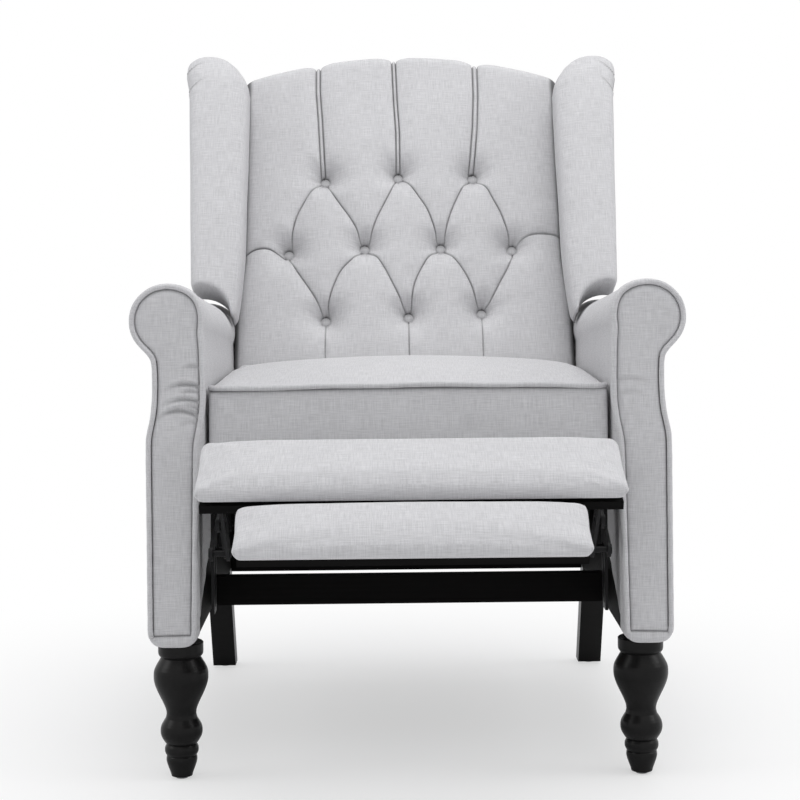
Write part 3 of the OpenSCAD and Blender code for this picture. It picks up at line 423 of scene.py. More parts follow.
def tidy(piece, merge=0.02):
    """Merges doubles, points the faces outwards and smooths the shading."""
    work = bmesh.new()
    work.from_mesh(piece.data)
    bmesh.ops.remove_doubles(work, verts=work.verts, dist=merge * MM)
    bmesh.ops.recalc_face_normals(work, faces=work.faces)
    work.to_mesh(piece.data)
    work.free()
    piece.data.polygons.foreach_set("use_smooth", [True] * len(piece.data.polygons))
    return piece


def grid_faces(rows, columns, around=False, start=0):
    """Quads of a grid of points; around joins each row's end to its start."""
    faces = []
    for i in range(rows - 1):
        for j in range(columns if around else columns - 1):
            k = (j + 1) % columns
            a, b = start + i * columns, start + (i + 1) * columns
            faces.append((a + j, a + k, b + k, b + j))
    return faces


def skin(name, rings, place=BASE):
    """Closed skin over rings of points, with fans over both ends."""
    count = len(rings[0])
    points = [p for ring in rings for p in ring]
    faces = grid_faces(len(rings), count, around=True)
    for ring, first, turn in ((rings[0], 0, 1), (rings[-1], (len(rings) - 1) * count, -1)):
        middle = len(points)
        points.append(np.mean(np.array(ring, float), axis=0))
        for j in range(count):
            pair = (first + j, first + (j + 1) % count)[::turn]
            faces.append((pair[0], middle, pair[1]))
    return tidy(to_mesh(name, points, faces, place))


def lay_weave(piece, turn):
    """UV map in millimetres: each face is laid flat along its main direction, so the weave has one size."""
    mesh = piece.data
    turned = np.array(turn.to_3x3().inverted()).T
    spots = coordinates(mesh) @ turned * 1000
    corners = np.zeros(len(mesh.loops), int)
    mesh.loops.foreach_get("vertex_index", corners)
    normals = np.array([p.normal for p in mesh.polygons], float) @ turned
    main = np.repeat(np.abs(normals).argmax(axis=1), [p.loop_total for p in mesh.polygons])
    at = spots[corners]
    across = np.where(main == 0, at[:, 1], at[:, 0])
    up = np.where(main == 2, at[:, 1], at[:, 2])
    layer = mesh.uv_layers.new(name="weave")
    layer.data.foreach_set("uv", np.stack([across, up], axis=1).astype(np.float32).ravel())


def coordinates(mesh):
    """Vertices of a mesh as rows."""
    flat = np.zeros(len(mesh.vertices) * 3)
    mesh.vertices.foreach_get("co", flat)
    return flat.reshape(-1, 3)


def spots_of(piece, place):
    """Vertices of a piece in the millimetres of the frame that place puts into the scene."""
    back = np.array(place.inverted())
    return (coordinates(piece.data) @ back[:3, :3].T + back[:3, 3]) * 1000


def mark_painted_shade(piece, values):
    """Stores painted shade for each vertex, from 0 to 1, where a seam, fold or dimple lies in shade; the linen is
    painted darker there.
    """
    layer = piece.data.attributes.new("painted_shade", "FLOAT", "POINT")
    layer.data.foreach_set("value", unit(values).astype(np.float32))


def upholster(piece, body, replaced=(), turn=BASE):
    """Finishes a padded piece: weave, material and body, and hides the parts that it stands for."""
    lay_weave(piece, turn)
    dress(piece, linen)
    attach(piece, body)
    if replaced:
        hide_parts(*replaced)
    print(piece.name, "faces:", len(piece.data.polygons))


def welt(name, path, radius, closed=True):
    """Piping: a round tube along a path, with a slight wave in its thickness as covered cord has."""
    points = np.array(path, float)
    count, sides = len(points), 10
    ahead = np.roll(points, -1, axis=0) - np.roll(points, 1, axis=0)
    if not closed:
        ahead[0], ahead[-1] = points[1] - points[0], points[-1] - points[-2]
    ahead /= np.linalg.norm(ahead, axis=1)[:, None]
    rings = []
    side = np.cross(ahead[0], (0.31, 0.17, 0.93))
    for i in range(count):
        side = side - ahead[i] * np.dot(side, ahead[i])
        side /= np.linalg.norm(side)
        other = np.cross(ahead[i], side)
        r = radius * (1 + 0.03 * math.sin(i * 0.9) + 0.02 * math.sin(i * 2.3))
        turn = np.linspace(0, 2 * math.pi, sides, endpoint=False)
        rings.append(points[i] + r * (np.cos(turn)[:, None] * side + np.sin(turn)[:, None] * other))
    if closed:
        start, end = rings[0][0] - points[0], rings[-1][0] - points[-1]
        drift = math.atan2(np.dot(end, np.cross(ahead[0], start)), np.dot(end, start))
        shift = round(drift / (2 * math.pi) * sides) % sides
        faces = grid_faces(count, sides, around=True)
        last = (count - 1) * sides
        for j in range(sides):
            faces.append((last + (j + shift) % sides, last + (j + 1 + shift) % sides, (j + 1) % sides, j))
        return tidy(to_mesh(name, np.vstack(rings), faces))
    return skin(name, rings)


def arc(centre, radius, start, end, steps):
    """Points of an arc, angles in degrees."""
    turn = np.radians(np.linspace(start, end, steps + 1))
    return np.stack([centre[0] + radius * np.cos(turn), centre[1] + radius * np.sin(turn)], axis=1)


def curve(points, steps):
    """Smooth curve through points, with steps between neighbours."""
    p = np.array(points, float)
    padded = np.vstack([p[0], p, p[-1]])
    t = (np.arange(steps) / steps)[:, None]
    out = []
    for a, b, c, d in zip(padded, padded[1:], padded[2:], padded[3:]):
        out.append(0.5 * (2 * b + (c - a) * t + (2 * a - 5 * b + 4 * c - d) * t**2 + (3 * b - a - 3 * c + d) * t**3))
    out.append(p[-1:])
    return np.vstack(out)


def lengths(p):
    """How far along a line each of its points lies."""
    return np.concatenate([[0], np.cumsum(np.linalg.norm(np.diff(p, axis=0), axis=1))])


def along_line(points, shares):
    """Points at shares of a line's length."""
    p = np.array(points, float)
    length = lengths(p)
    return np.stack([np.interp(shares * length[-1], length, p[:, k]) for k in range(p.shape[1])], axis=1)


def spaced(points, step, closed=False):
    """The same line with points at an even spacing of about step."""
    p = np.array(points, float)
    if closed:
        p = np.vstack([p, p[:1]])
    count = max(2, int(round(lengths(p)[-1] / step)))
    made = along_line(p, np.linspace(0, 1, count + 1))
    return made[:-1] if closed else made


def closing(count):
    """Shares from 0 to 1 that lie closer together towards both ends."""
    t = np.linspace(0, 1, count)
    return t - 0.78 * np.sin(2 * math.pi * t) / (2 * math.pi)


def nearest_on(points, line):
    """Distance of each point to a broken line in the plane, and the line's nearest spot."""
    near, where = np.full(len(points), 1e9), np.zeros((len(points), 2))
    for a, b in zip(line, line[1:]):
        ab = b - a
        t = unit(((points - a) @ ab) / max(ab @ ab, 1e-9))
        spot = a + t[:, None] * ab
        gap = np.linalg.norm(points - spot, axis=1)
        better = gap < near
        near[better], where[better] = gap[better], spot[better]
    return near, where


def field(bottom, top, left, right, u=None, v=None):
    """Grid between four sides whose own points it keeps; u and v say where they lie if unevenly."""
    u = (np.linspace(0, 1, len(bottom)) if u is None else u)[None, :, None]
    v = (np.linspace(0, 1, len(left)) if v is None else v)[:, None, None]
    corners = (1 - u) * (1 - v) * bottom[0] + u * (1 - v) * bottom[-1] + (1 - u) * v * top[0] + u * v * top[-1]
    return (1 - v) * bottom[None] + v * top[None] + (1 - u) * left[:, None] + u * right[:, None] - corners


def filled_patch(bottom, top, left, right, across, up):
    """Grid over an area with four sides; the grid closes up towards the seams."""
    even = (np.linspace(0, 1, count) for count in (across, up))
    u, v = (0.45 * (0.5 - 0.5 * np.cos(np.pi * t)) + 0.55 * t for t in even)
    return field(along_line(bottom, u), along_line(top, u), along_line(left, v), along_line(right, v), u, v)


# %% [markdown]
# ## Padding by simulation
# A cushion's shape comes from stuffing that pushes its cover outwards between the
# seams. The cover starts a little small, is remeshed evenly, and is blown up as cloth
# with its seams held. A cap on how far a point may move keeps it in its space.

# %% Cloth inflation
SIMULATED_FRAMES = 20


def apply_modifier(piece, kind, **values):
    """Adds a modifier with its settings and applies it."""
    made = piece.modifiers.new(kind, kind)
    for key, value in values.items():
        setattr(made, key, value)
    bpy.ops.object.modifier_apply(modifier=kind)


def inflate(piece, held, cap, pressure, voxel):
    """Blows a closed mesh up as cloth; held(points in metres) is true where a seam holds it."""
    only(piece)
    apply_modifier(piece, "REMESH", mode="VOXEL", voxel_size=voxel * MM)
    start = coordinates(piece.data)
    moved = start
    group = piece.vertex_groups.new(name="seams")
    group.add([int(i) for i in np.nonzero(held(start))[0]], 1.0, "REPLACE")
    cloth = piece.modifiers.new("cloth", "CLOTH")
    cloth.settings.quality = 5
    cloth.settings.mass = 0.3
    cloth.settings.tension_stiffness = 25
    cloth.settings.compression_stiffness = 25
    cloth.settings.bending_stiffness = 2.0
    cloth.settings.use_pressure = True
    cloth.settings.uniform_pressure_force = pressure
    cloth.settings.vertex_group_mass = "seams"
    cloth.settings.effector_weights.gravity = 0
    cloth.collision_settings.use_collision = False
    cloth.point_cache.frame_start, cloth.point_cache.frame_end = 1, SIMULATED_FRAMES
    for number in range(1, SIMULATED_FRAMES + 1):
        scene.frame_set(number)
    moved = coordinates(piece.evaluated_get(bpy.context.evaluated_depsgraph_get()).to_mesh())
    piece.modifiers.remove(cloth)
    piece.vertex_groups.clear()
    scene.frame_set(1)
    step = moved - start
    size = np.linalg.norm(step, axis=1)[:, None]
    step *= np.minimum(1, cap * MM / np.maximum(size, 1e-9))
    piece.data.vertices.foreach_set("co", (start + step).ravel())
    apply_modifier(piece, "SMOOTH", iterations=3, factor=0.5)
    apply_modifier(piece, "SUBSURF", levels=1, render_levels=1)
    piece.data.polygons.foreach_set("use_smooth", [True] * len(piece.data.polygons))
    print(piece.name, "moved up to", round(1000 * float(np.abs(step).max()), 1), "mm")


def block_rings(half_w, depth, low, high, radius, crown, bow, stations, steps, round_low, rear):
    """Rings of a boxed pad along X, centred in depth: rounded edges, a crown, bowed sides.

    round_low and rear are the radii of the lower edges and of the top edge behind.
    """
    turn = np.radians(np.linspace(0, 80, 5))
    end = [(half_w - radius * (1 - math.cos(a)), radius * (1 - math.sin(a))) for a in turn]
    middle = [(x, 0.0) for x in np.linspace(-(half_w - radius), half_w - radius, stations)]
    columns = [(-x, cut) for x, cut in end] + middle + end[::-1]
    rings = []
    for x, cut in columns:
        across = 1 - (x / half_w) ** 2
        h = depth / 2 - cut + bow * across
        top, floor_z = high - cut, low + cut * 0.6
        r, rr, rl = max(radius - cut, 0.6), max(rear - cut, 0.6), max(round_low - cut * 0.6, 0.6)
        section = [*arc((h - rl, floor_z + rl), rl, -90, 0, 3), *arc((h - rr, top - rr), rr, 0, 90, 4)]
        rise = crown * (0.38 * (1 - abs(x / half_w) ** 16) + 0.62 * (1 - abs(x / half_w) ** 2))
        for u in np.linspace(h - rr, -h + r, steps)[1:-1]:
            section.append((u, top + rise * (1 - abs(u / h) ** 2.4)))
        section += [*arc((-h + r, top - r), r, 90, 180, 4), *arc((-h + rl, floor_z + rl), rl, 180, 270, 3)]
        rings.append([(x, y, z) for y, z in section])
    return rings


# %% [markdown]
# ## Seat cushion
# A boxed cushion: a top and a bottom panel joined to an upright border, with piping
# in both seams. The top has the highest crown, because a body has pressed the foam
# least there. The seams are held during the simulation, and the piping goes on after.

# %% Seat cushion
SEAT = dict(half=256.5, front=16.5, back=424.5, low=415.5, high=500.5, crown=31)
seat_mid = (SEAT["front"] + SEAT["back"]) / 2
SEAT_PLACE = BASE @ Matrix.Translation((0, seat_mid * MM, 0))
seat_cushion = skin("seat_cushion_cover", block_rings(
    SEAT["half"] - 2, SEAT["back"] - SEAT["front"] - 4, SEAT["low"] + 1.5, SEAT["high"] - 1, 6, SEAT["crown"] - 6, 1,
    34, 26, round_low=6, rear=6), SEAT_PLACE)


def seat_seams(points):
    """The two welted seams, the underside, and the sides next to the arms hold the cushion."""
    x, y, z = (points * 1000).T
    edge = np.maximum(np.abs(x) / 250, np.abs(y + MIDDLE_Y - seat_mid) / 196) > 1
    top = edge & (np.abs(z - SEAT["high"]) < 7)
    low = z < SEAT["low"] + 7
    return top | low | (np.abs(x) > 253.5)


def seam_rise(x):
    """How much higher the top seam lies in the middle of the chair."""
    return 2.8 * (1 - (x / 254) ** 2)


inflate(seat_cushion, seat_seams, 9, pressure=3.0, voxel=6.0)
WELT_HALF, WELT_INSET, CORNER = 254.2, 2.2, 14
for label, height in (("top", SEAT["high"] - 1.0), ("bottom", SEAT["low"] + 4.5)):
    # Rounded outline of the cushion, as the seams follow it
    x = SEAT["half"] - WELT_INSET - CORNER
    front, back = SEAT["front"] + WELT_INSET + CORNER, SEAT["back"] - WELT_INSET - CORNER
    corners = ((x, back, 0), (-x, back, 90), (-x, front, 180), (x, front, 270))
    line = spaced(np.vstack([arc((cx, cy), CORNER, a, a + 90, 6) for cx, cy, a in corners]), 7, closed=True)
    x, y = line.T
    z = height + 0.5 * np.sin(x * 0.045) + 0.4 * np.sin(x * 0.017 + 1)
    x = x * WELT_HALF / SEAT["half"]
    if label == "top":
        # Beside the arms the seam lies lower, behind the crown
        z += seam_rise(x) - 6.0 * unit((y - SEAT["front"] - 15) / 25) * (np.abs(x) > 240)
    upholster(welt(f"seat_welt_{label}", np.column_stack([x, y, z]), 3.6), "seat")
x, y, z = spots_of(seat_cushion, BASE).T
# Painted shade in a band along the top seam, under the piping
mark_painted_shade(seat_cushion, 0.75 * bell(z - SEAT["high"] + 4.5 - seam_rise(x), 1.8))
upholster(seat_cushion, "seat", ["seat_cushion"])

# %% [markdown]
# ## Footrest pads
# Each pad is foam on a board with the linen pulled round it and folded at the front
# corners, where a small ear of cloth stands out beside a slit. The rear edge and the
# top are soft, and the front has a crisp lip.

# %% Footrest pads
EAR = 4.5


def footrest_cover(name, body, pad, half, depth, low, high, crown, centre_b, lift, rear):
    """A pad with a puffed top; the cover flares a little towards its front corners."""
    place = REST @ Matrix.Translation((0, centre_b * MM, 0))
    cover = skin(name, block_rings(
        half - 1.5, depth - 3, low, high - 1.5, 9, crown, 0.5, 40, 14, round_low=2.5, rear=rear), place)
    inflate(cover, lambda points: spots_of(cover, place)[:, 2] < low + 4, 5, pressure=2.5, voxel=4.0)
    x, b, n = spots_of(cover, place).T
    front = unit((-b) / (depth / 2))
    behind = unit(b / (depth / 2))
    x += np.sign(x) * unit(np.abs(x) / half - 0.6) * 2.5 * (1.9 * front * front + 3.2 * behind)
    # The middle of the top stands higher than its ends
    n += lift * (1 - unit(np.abs(x) / half) ** 2.2) * unit((n - low) / (high - low))
    # Ears: the folded corner of the cover, with the slit beside it and the corner cut back below it
    corner = np.exp(-(((np.abs(x) - half) / 5.0) ** 2 + ((b + depth / 2) / 8.0) ** 2))
    level = bell(n - (low + 12), 5.0)
    below = unit((low + 9 - n) / 9) * unit((-b - depth / 2 + 14) / 14)
    x += np.sign(x) * unit((np.abs(x) - half + 12) / 12) * (EAR * corner * level - 4.5 * below)
    slit = bell(np.abs(x) - (half - 3.5), 1.4) * unit((-b - depth / 2 + 6) / 6)
    slit *= bell(n - (low + 8), 5.0)
    b += 2.2 * slit
    # Painted shade in the slit beside each ear
    mark_painted_shade(cover, 0.95 * slit)
    matrix = np.array(place)
    spots = np.column_stack([x, b, n]) * MM
    cover.data.vertices.foreach_set("co", (spots @ matrix[:3, :3].T + matrix[:3, 3]).ravel())
    upholster(cover, body, [pad], turn=REST)


footrest_cover("footrest_cover", "footrest", "footrest_pad", 250, 128, -8.8, 12, 4.0, 0, 4.0, 9)
footrest_cover("second_footrest_cover", "second_footrest", "second_pad", 200.5, 100.5, -24.5, -5.0, 4.5, -116.75,
               4.5, 3)

# %% [markdown]
# ## Rolled arms
# The front of an arm is a shaped panel with piping round it, set a little behind the
# rim of cloth that wraps the roll. Its cover is pulled tight at the neck, which leaves
# short creases beside the inner edge. The same outline as in the drawing is used.

# %% Outline of the arm's front
ARM_IN, FRAME_IN, ARM_OUT, BASE_Z = 260, 276, 332, 174
ROLL_X, ROLL_Z, ROLL_R, ROLL_DROP, SIDE_DEPTH = 304.5, 587, 47.5, 43, 612
INNER_EDGE = [(ROLL_X - 46.5, ROLL_Z - 18), (256.5, 545), (256, 507), (256.5, 482), (259.5, 456), (263, 441),
              (265, 424), (266, 390)]
OUTER_EDGE = [(332, 354), (332, 430), (330, 448), (325, 472), (323, 506), (324, 539.5)]


def roll_radius(degrees, full=1.0):
    """Radius of the roll: a little fuller above its inner side, by full."""
    return ROLL_R * (1 + 0.055 * full * bell(np.asarray(degrees, float) - 138, 26))


def facing_outline(inset):
    """Outline of the front panel as even points (x, z), anticlockwise, drawn in by inset."""
    turn = np.linspace(-50, 196, 42)
    r = roll_radius(turn)
    roll = np.column_stack([ROLL_X + r * np.cos(np.radians(turn)), ROLL_Z + r * np.sin(np.radians(turn))])
    outline = np.vstack([
        arc((285, 189), 15, 180, 270, 5), arc((ARM_OUT - 17, BASE_Z + 17), 17, 270, 360, 6),
        curve(OUTER_EDGE, 6), roll, curve(INNER_EDGE, 6)])
    outline = spaced(outline, 4.0, closed=True)
    for _ in range(3):
        outline = 0.5 * outline + 0.25 * (np.roll(outline, 1, axis=0) + np.roll(outline, -1, axis=0))
    ahead = np.roll(outline, -1, axis=0) - np.roll(outline, 1, axis=0)
    ahead /= np.linalg.norm(ahead, axis=1)[:, None]
    return outline + inset * np.column_stack([-ahead[:, 1], ahead[:, 0]])


def drop_at(y):
    """How far the roll has come down at depth y."""
    return ROLL_DROP * unit(y / (SIDE_DEPTH - 120))


# Creases of the front panel: height at the inner edge, reach outwards, rise of the arch, depth, width
CREASES = {
    -1: [(527, 26, 3, 1.8, 2.4), (503, 46, 5, 3.6, 2.5), (495, 30, 4, 2.0, 2.0), (484, 48, 5, 3.2, 2.4),
         (475, 42, 5, 2.0, 2.0), (466, 56, 9, 4.0, 2.8), (457, 26, 3, 1.4, 2.4)],
    1: [(506, 46, 3, 1.1, 2.6), (490, 40, 2, 0.9, 2.4)],
}


def crease_depth(x, z, creases):
    """Depth of the panel's creases at points: folds run out from the inner edge in low arches."""
    deep = np.zeros(len(x))
    edge = np.array(INNER_EDGE[::-1], float)
    for height, reach, rise, depth, width in creases:
        inner = np.interp(height, edge[:, 1], edge[:, 0]) + 6
        t = (x - inner) / reach
        line = height + rise * np.sin(np.clip(t, 0, 1.2) * math.pi) - 4 * np.clip(t, 0, 2) ** 2
        fade = np.exp(-(np.clip(t - 0.45, 0, 9) / 0.35) ** 2)
        over = (z - line) / width
        deep += depth * fade * (np.exp(-(over**2)) - 0.55 * np.exp(-((over - 1.9) ** 2)))
    return deep


def above(outline, start, cut):
    """The part of a closed outline over the height cut, in one run from the last point below start."""
    first = (len(outline) - np.argmax(outline[::-1, 1] < start)) % len(outline)
    line = np.roll(outline, -first, axis=0)
    return line[line[:, 1] > cut]


def rounded(rim, thick, softness):
    """Rise of a sheet of some thickness at a distance from its rim, with a soft edge."""
    return thick * (1 - np.exp(-rim / softness))


def arm_front(side):
    """Rim, front panel and piping of one arm."""
    label = SIDES[side]
    # Rings from the rear of the rim to the panel's seam: inset and depth
    rim = [(0.4, 19.8), (0.2, 14), (0, 9), (0.3, 6), (1.2, 3.8), (2.8, 2.6), (5.0, 3.2), (6.6, 5.2)]
    # At the lower end the panel has no seam and runs on round the edge
    plain = [19.8, 14, 9, 6, 3.8, 2.2, 1.2, 0.7]

    def sewn(z):
        return unit((np.asarray(z) - BASE_Z - 9) / 9)

    rings = []
    for (inset, y), y_plain in zip(rim, plain):
        rings.append([(side * x, y_plain + (y - y_plain) * float(sewn(z)), z) for x, z in facing_outline(inset)])
    points = [p for ring in rings for p in ring]
    count = len(rings[0])
    faces = grid_faces(len(rings), count, around=True)
    seam = facing_outline(rim[-1][0])
    # The seam's points split into four sides, so that the panel becomes one grid
    low_in, low_out = (int(np.argmin(np.abs(seam - (x, 190)).sum(axis=1))) for x in (276.6, 325.4))
    top_out, top_in = (int(np.argmin(np.linalg.norm(seam - (ROLL_X + x, ROLL_Z + 6), axis=1))) for x in (39, -39))

    def run(a, b):
        return seam[a:b + 1] if a <= b else np.vstack([seam[a:], seam[:b + 1]])

    columns, rows = 33, 231
    flat = filled_patch(run(low_in, low_out), run(top_out, top_in)[::-1], run(top_in, low_in)[::-1],
                        run(low_out, top_out), columns, rows).reshape(-1, 2)
    edge = np.vstack([seam, seam[:1]])
    rest = nearest_on(flat, edge)[0]
    sewn_part = above(seam, BASE_Z + 18, BASE_Z + 14)
    to_seam = nearest_on(flat, sewn_part)[0]
    y = rim[-1][1] - rounded(to_seam, 4.6, 3.2) - rounded(to_seam, 1.4, 14)
    y = np.where(rest < 0.05, plain[-1] + (rim[-1][1] - plain[-1]) * sewn(flat[:, 1]), y)
    y += 0.35 * np.sin(flat[:, 1] * 0.021 + flat[:, 0] * 0.03) * unit(rest / 12)
    y += crease_depth(*flat.T, CREASES[side]) * unit(rest / 3)
    start = len(points)
    points += [(side * x, yy, z) for (x, z), yy in zip(flat, y)]
    faces += grid_faces(rows, columns, start=start)
    faces.append(tuple(range(count)))
    cover = tidy(to_mesh(f"arm_front_{label}", points, faces), merge=0.05)
    spots = spots_of(cover, BASE)
    flat = np.column_stack([side * spots[:, 0], spots[:, 2]])
    # Painted shade along the piped seam and in the creases of the front panel
    on_face = spots[:, 1] < 6.5
    dark = 0.85 * bell(nearest_on(flat, sewn_part)[0], 1.5) * sewn(flat[:, 1])
    dark += 0.10 * np.clip(crease_depth(*flat.T, CREASES[side]), 0, 3)
    mark_painted_shade(cover, dark * on_face)
    upholster(cover, "base", [f"arm_facing_{label}"])
    x, z = spaced(above(facing_outline(3.5), BASE_Z + 14, BASE_Z + 10), 5).T
    # The ends of the piping sink into the rim
    path = np.column_stack([side * x, 2.4 + 3.5 * unit(1 - (z - BASE_Z - 8) / 14), z])
    upholster(welt(f"arm_welt_{label}", path, 3.4, closed=False), "base")


for side in SIDES:
    arm_front(side)

# %% [markdown]
# The inside of the arm and the roll are one cover. Behind the piping it starts at the
# front panel's outline, and within a few centimetres it swells to the full roll, which
# falls towards the rear. The cloth sinks a little where it is pulled under the roll.

# %% Arm covers
# Lower edge of the inside pad, upper end of its upright part, and the frame's face behind it
PAD_LOW, PAD_HIGH, PAD_WALL = 400.5, 545, 276.2


def arm_section(y, shrink):
    """Outline of the padded inside and roll at depth y, as (x, z): up the inside, over, and under the roll."""
    t = unit((y - 4) / 30)
    swell = 1 - (1 - t) ** 2.6
    low = ROLL_Z - drop_at(y)
    edge = np.array(INNER_EDGE[::-1], float)
    path = []
    for z in np.linspace(PAD_LOW, PAD_HIGH, 16):
        front = min(float(np.interp(z, edge[:, 1], edge[:, 0])) + 2.8, 272)
        belly = 0.5 + 0.8 * math.sin(math.pi * (z - 400) / 150)
        height = PAD_LOW + (z - PAD_LOW) * (1 - drop_at(y) / (PAD_HIGH - PAD_LOW))
        full = ARM_IN - 0.6 - belly * 0.8 + 7 * max(0, 1 - (height - PAD_LOW) / 9) ** 2
        path.append((front + (full - front) * swell, height))
    for a in np.radians(np.linspace(196, -44, 34)):
        extra = float(roll_radius(math.degrees(a), unit(1 - y / 160))) - ROLL_R
        r_front, r_full = ROLL_R - 2.8 + extra, ROLL_R - 0.2 + extra
        ease_in = unit((math.degrees(a) - 176) / 20)
        r = r_front + (r_full - r_front) * swell - ease_in * 1.2
        path.append((ROLL_X + r * math.cos(a), low + r * math.sin(a)))
    path += [(ARM_OUT - 8, low - 42), (ARM_OUT - 12, low - 50.2), (300, low - 50.4), (276.3, low - 50.4),
             (PAD_WALL, 470 - drop_at(y)), (PAD_WALL, PAD_LOW)]
    flat = np.array(path)
    middle = flat.mean(axis=0)
    return flat + (middle - flat) * shrink


def arm_cover(side):
    """Inside pad and top roll of one arm."""
    label = SIDES[side]
    stations = [(4, 0.004), (5.5, 0), (8, 0), (12, 0), (17, 0), (23, 0), (30, 0), (40, 0)]
    stations += [(y, 0) for y in np.linspace(55, 570, 30)] + [(578, 0.01), (585, 0.03), (589, 0.07)]
    rings = []
    for y, shrink in stations:
        flat = arm_section(y, shrink)
        wave = 0.5 * np.sin(y * 0.03 + flat[:, 1] * 0.02) + 0.35 * np.sin(y * 0.071 + flat[:, 1] * 0.043 + 1)
        wave *= unit((y - 30) / 60) * (flat[:, 1] > 420) * (flat[:, 0] < 330)
        rings.append([(side * (x + 0.6 * w), y, z) for (x, z), w in zip(flat, wave)])
    upholster(skin(f"arm_cover_{label}", rings), "base", [f"arm_pad_{label}"])


for side in SIDES:
    arm_cover(side)

# %% [markdown]
# The outside of an arm is one tight panel over a hollow. It is tacked under the roll,
# wraps the rear of the frame, and gives a little between the edges that hold it. The
# lining inside, below the seat, is pulled down and stapled along a slanting line.

# %% Outside panels and lining
# Ends of the outside panel in depth, its lower edge, and its upper edge below the roll's axis
PANEL_FRONT, PANEL_REAR, PANEL_LOW, TACKED = 20.4, SIDE_DEPTH + 5.4, BASE_Z + 1.4, 51.4


def thick_sheet(name, base, rise, across, place=BASE):
    """Closed sheet: a grid of points and the same grid raised along one direction, joined round the edge."""
    rows, columns = base.shape[:2]
    front = base + rise[..., None] * np.array(across, float)
    points = np.vstack([front.reshape(-1, 3), base.reshape(-1, 3)])
    half = rows * columns
    faces = grid_faces(rows, columns) + [tuple(half + k for k in f[::-1]) for f in grid_faces(rows, columns)]
    edge = ([(0, j) for j in range(columns)] + [(i, columns - 1) for i in range(1, rows)]
            + [(rows - 1, j) for j in range(columns - 2, -1, -1)] + [(i, 0) for i in range(rows - 2, 0, -1)])
    index = [i * columns + j for i, j in edge]
    for k, m in zip(index, index[1:] + index[:1]):
        faces.append((k, m, half + m, half + k))
    return tidy(to_mesh(name, points, faces, place), merge=0.01)


def soft_sheet(name, corners, rows, columns, thick, puff, across, gather):
    """Thin padded panel: a grid between four corners with rounded edges, puffed to one side (unit vector across)."""
    a, b, c, d = (np.array(p, float) for p in corners)
    width, height = np.linalg.norm(b - a), np.linalg.norm(d - a)
    U, V = np.meshgrid(np.linspace(0, 1, columns), np.linspace(0, 1, rows))
    u, v = U[..., None], V[..., None]
    base = (1 - u) * (1 - v) * a + u * (1 - v) * b + u * v * c + (1 - u) * v * d
    rim = np.minimum(np.minimum(U, 1 - U) * width, np.minimum(V, 1 - V) * height)
    rise = rounded(rim, thick, 2.2) + puff * 16 * U * (1 - U) * V * (1 - V) + gather(U, V) * unit(rim / 8)
    return thick_sheet(name, base, rise, across)


def outside_panel(side):
    """Outside of an arm: it follows the front panel's waist, and its top follows the roll down."""
    label = SIDES[side]
    line = np.vstack([(ARM_OUT, 175), curve(OUTER_EDGE[1:], 8)])
    y = np.concatenate([np.linspace(PANEL_FRONT, 60, 12)[:-1], np.linspace(60, PANEL_REAR, 60)])
    top = ROLL_Z - TACKED - drop_at(y)
    v = closing(60)[:, None]
    z = PANEL_LOW + (top - PANEL_LOW) * v
    x = np.interp(z, line[:, 1], line[:, 0]) - 5.6
    base = np.stack([side * x, np.broadcast_to(y, z.shape), z], axis=-1)
    rim = np.minimum(np.minimum(y - PANEL_FRONT, PANEL_REAR - y), np.minimum(v, 1 - v) * (top - BASE_Z))
    puff = 1.2 * unit(rim / 110) + 0.35 * np.sin(y * 0.02 + z * 0.016) * unit(rim / 25)
    upholster(thick_sheet(f"outside_arm_{label}", base, rounded(rim, 5.0, 2.0) + puff, (side, 0, 0)), "base",
              [f"outside_arm_panel_{label}"])
    # The same cloth goes on over the rear of the side frame
    z = PANEL_LOW + (ROLL_Z - TACKED - ROLL_DROP - PANEL_LOW) * v
    outer = np.interp(z, line[:, 1], line[:, 0]) - 6.2
    u = np.linspace(0, 1, 14)
    x = FRAME_IN + (outer - FRAME_IN) * u
    base = np.stack([side * x, np.full(x.shape, SIDE_DEPTH + 0.2), np.broadcast_to(z, x.shape)], axis=-1)
    rim = np.minimum(np.minimum(u, 1 - u) * 50, np.minimum(v, 1 - v) * 300)
    upholster(thick_sheet(f"arm_rear_{label}", base, rounded(rim, 5.4, 2.0), (0, 1, 0)), "base")


for side in SIDES:
    outside_panel(side)


LINING_FRONT, LINING_REAR, LINING_FACE = 20.5, 345, 275.8


def arm_lining(side):
    """Thin lining on the inside of the side frame, and the padded return behind the front panel."""
    label = SIDES[side]
    y = np.concatenate([np.linspace(LINING_FRONT, 246, 46), [247.6, 248.4], np.linspace(252, LINING_REAR, 18)])
    low = np.interp(y, [LINING_FRONT, 84, 175, LINING_REAR], [176, 191, 240, 297])
    high = np.where(y < 248, 399.6, 350.0)
    v = np.linspace(0, 1, 30)[:, None]
    z = low + (high - low) * v
    base = np.stack([np.full(z.shape, side * LINING_FACE), np.broadcast_to(y, z.shape), z], axis=-1)
    rim = np.minimum(np.minimum(y - LINING_FRONT, LINING_REAR - y), np.minimum(v, 1 - v) * (high - low))
    # Slanting pulls run up from the stapled lower edge
    pulls = np.sin((y * 0.8 + z) * 0.075) + 0.5 * np.sin((y * 0.5 + z) * 0.16 + 1)
    rise = rounded(rim, 2.0, 1.2) + 0.35 * pulls * np.exp(-(z - low) / 60) * unit(rim / 6)
    upholster(thick_sheet(f"arm_lining_{label}", base, rise, (-side, 0, 0)), "base")
    low, high = BASE_Z + 2.5, 399.4
    corners = [(side * 275.7, y, z) for y, z in ((20.2, low), (69.5, low), (69.5, high), (20.2, high))]
    upholster(soft_sheet(f"arm_return_{label}", corners, 60, 16, 4.2, 0.5, (-side, 0, 0),
                         lambda U, V: 0.3 * np.sin(V * 24 + U * 3)), "base")


for side in SIDES:
    arm_lining(side)

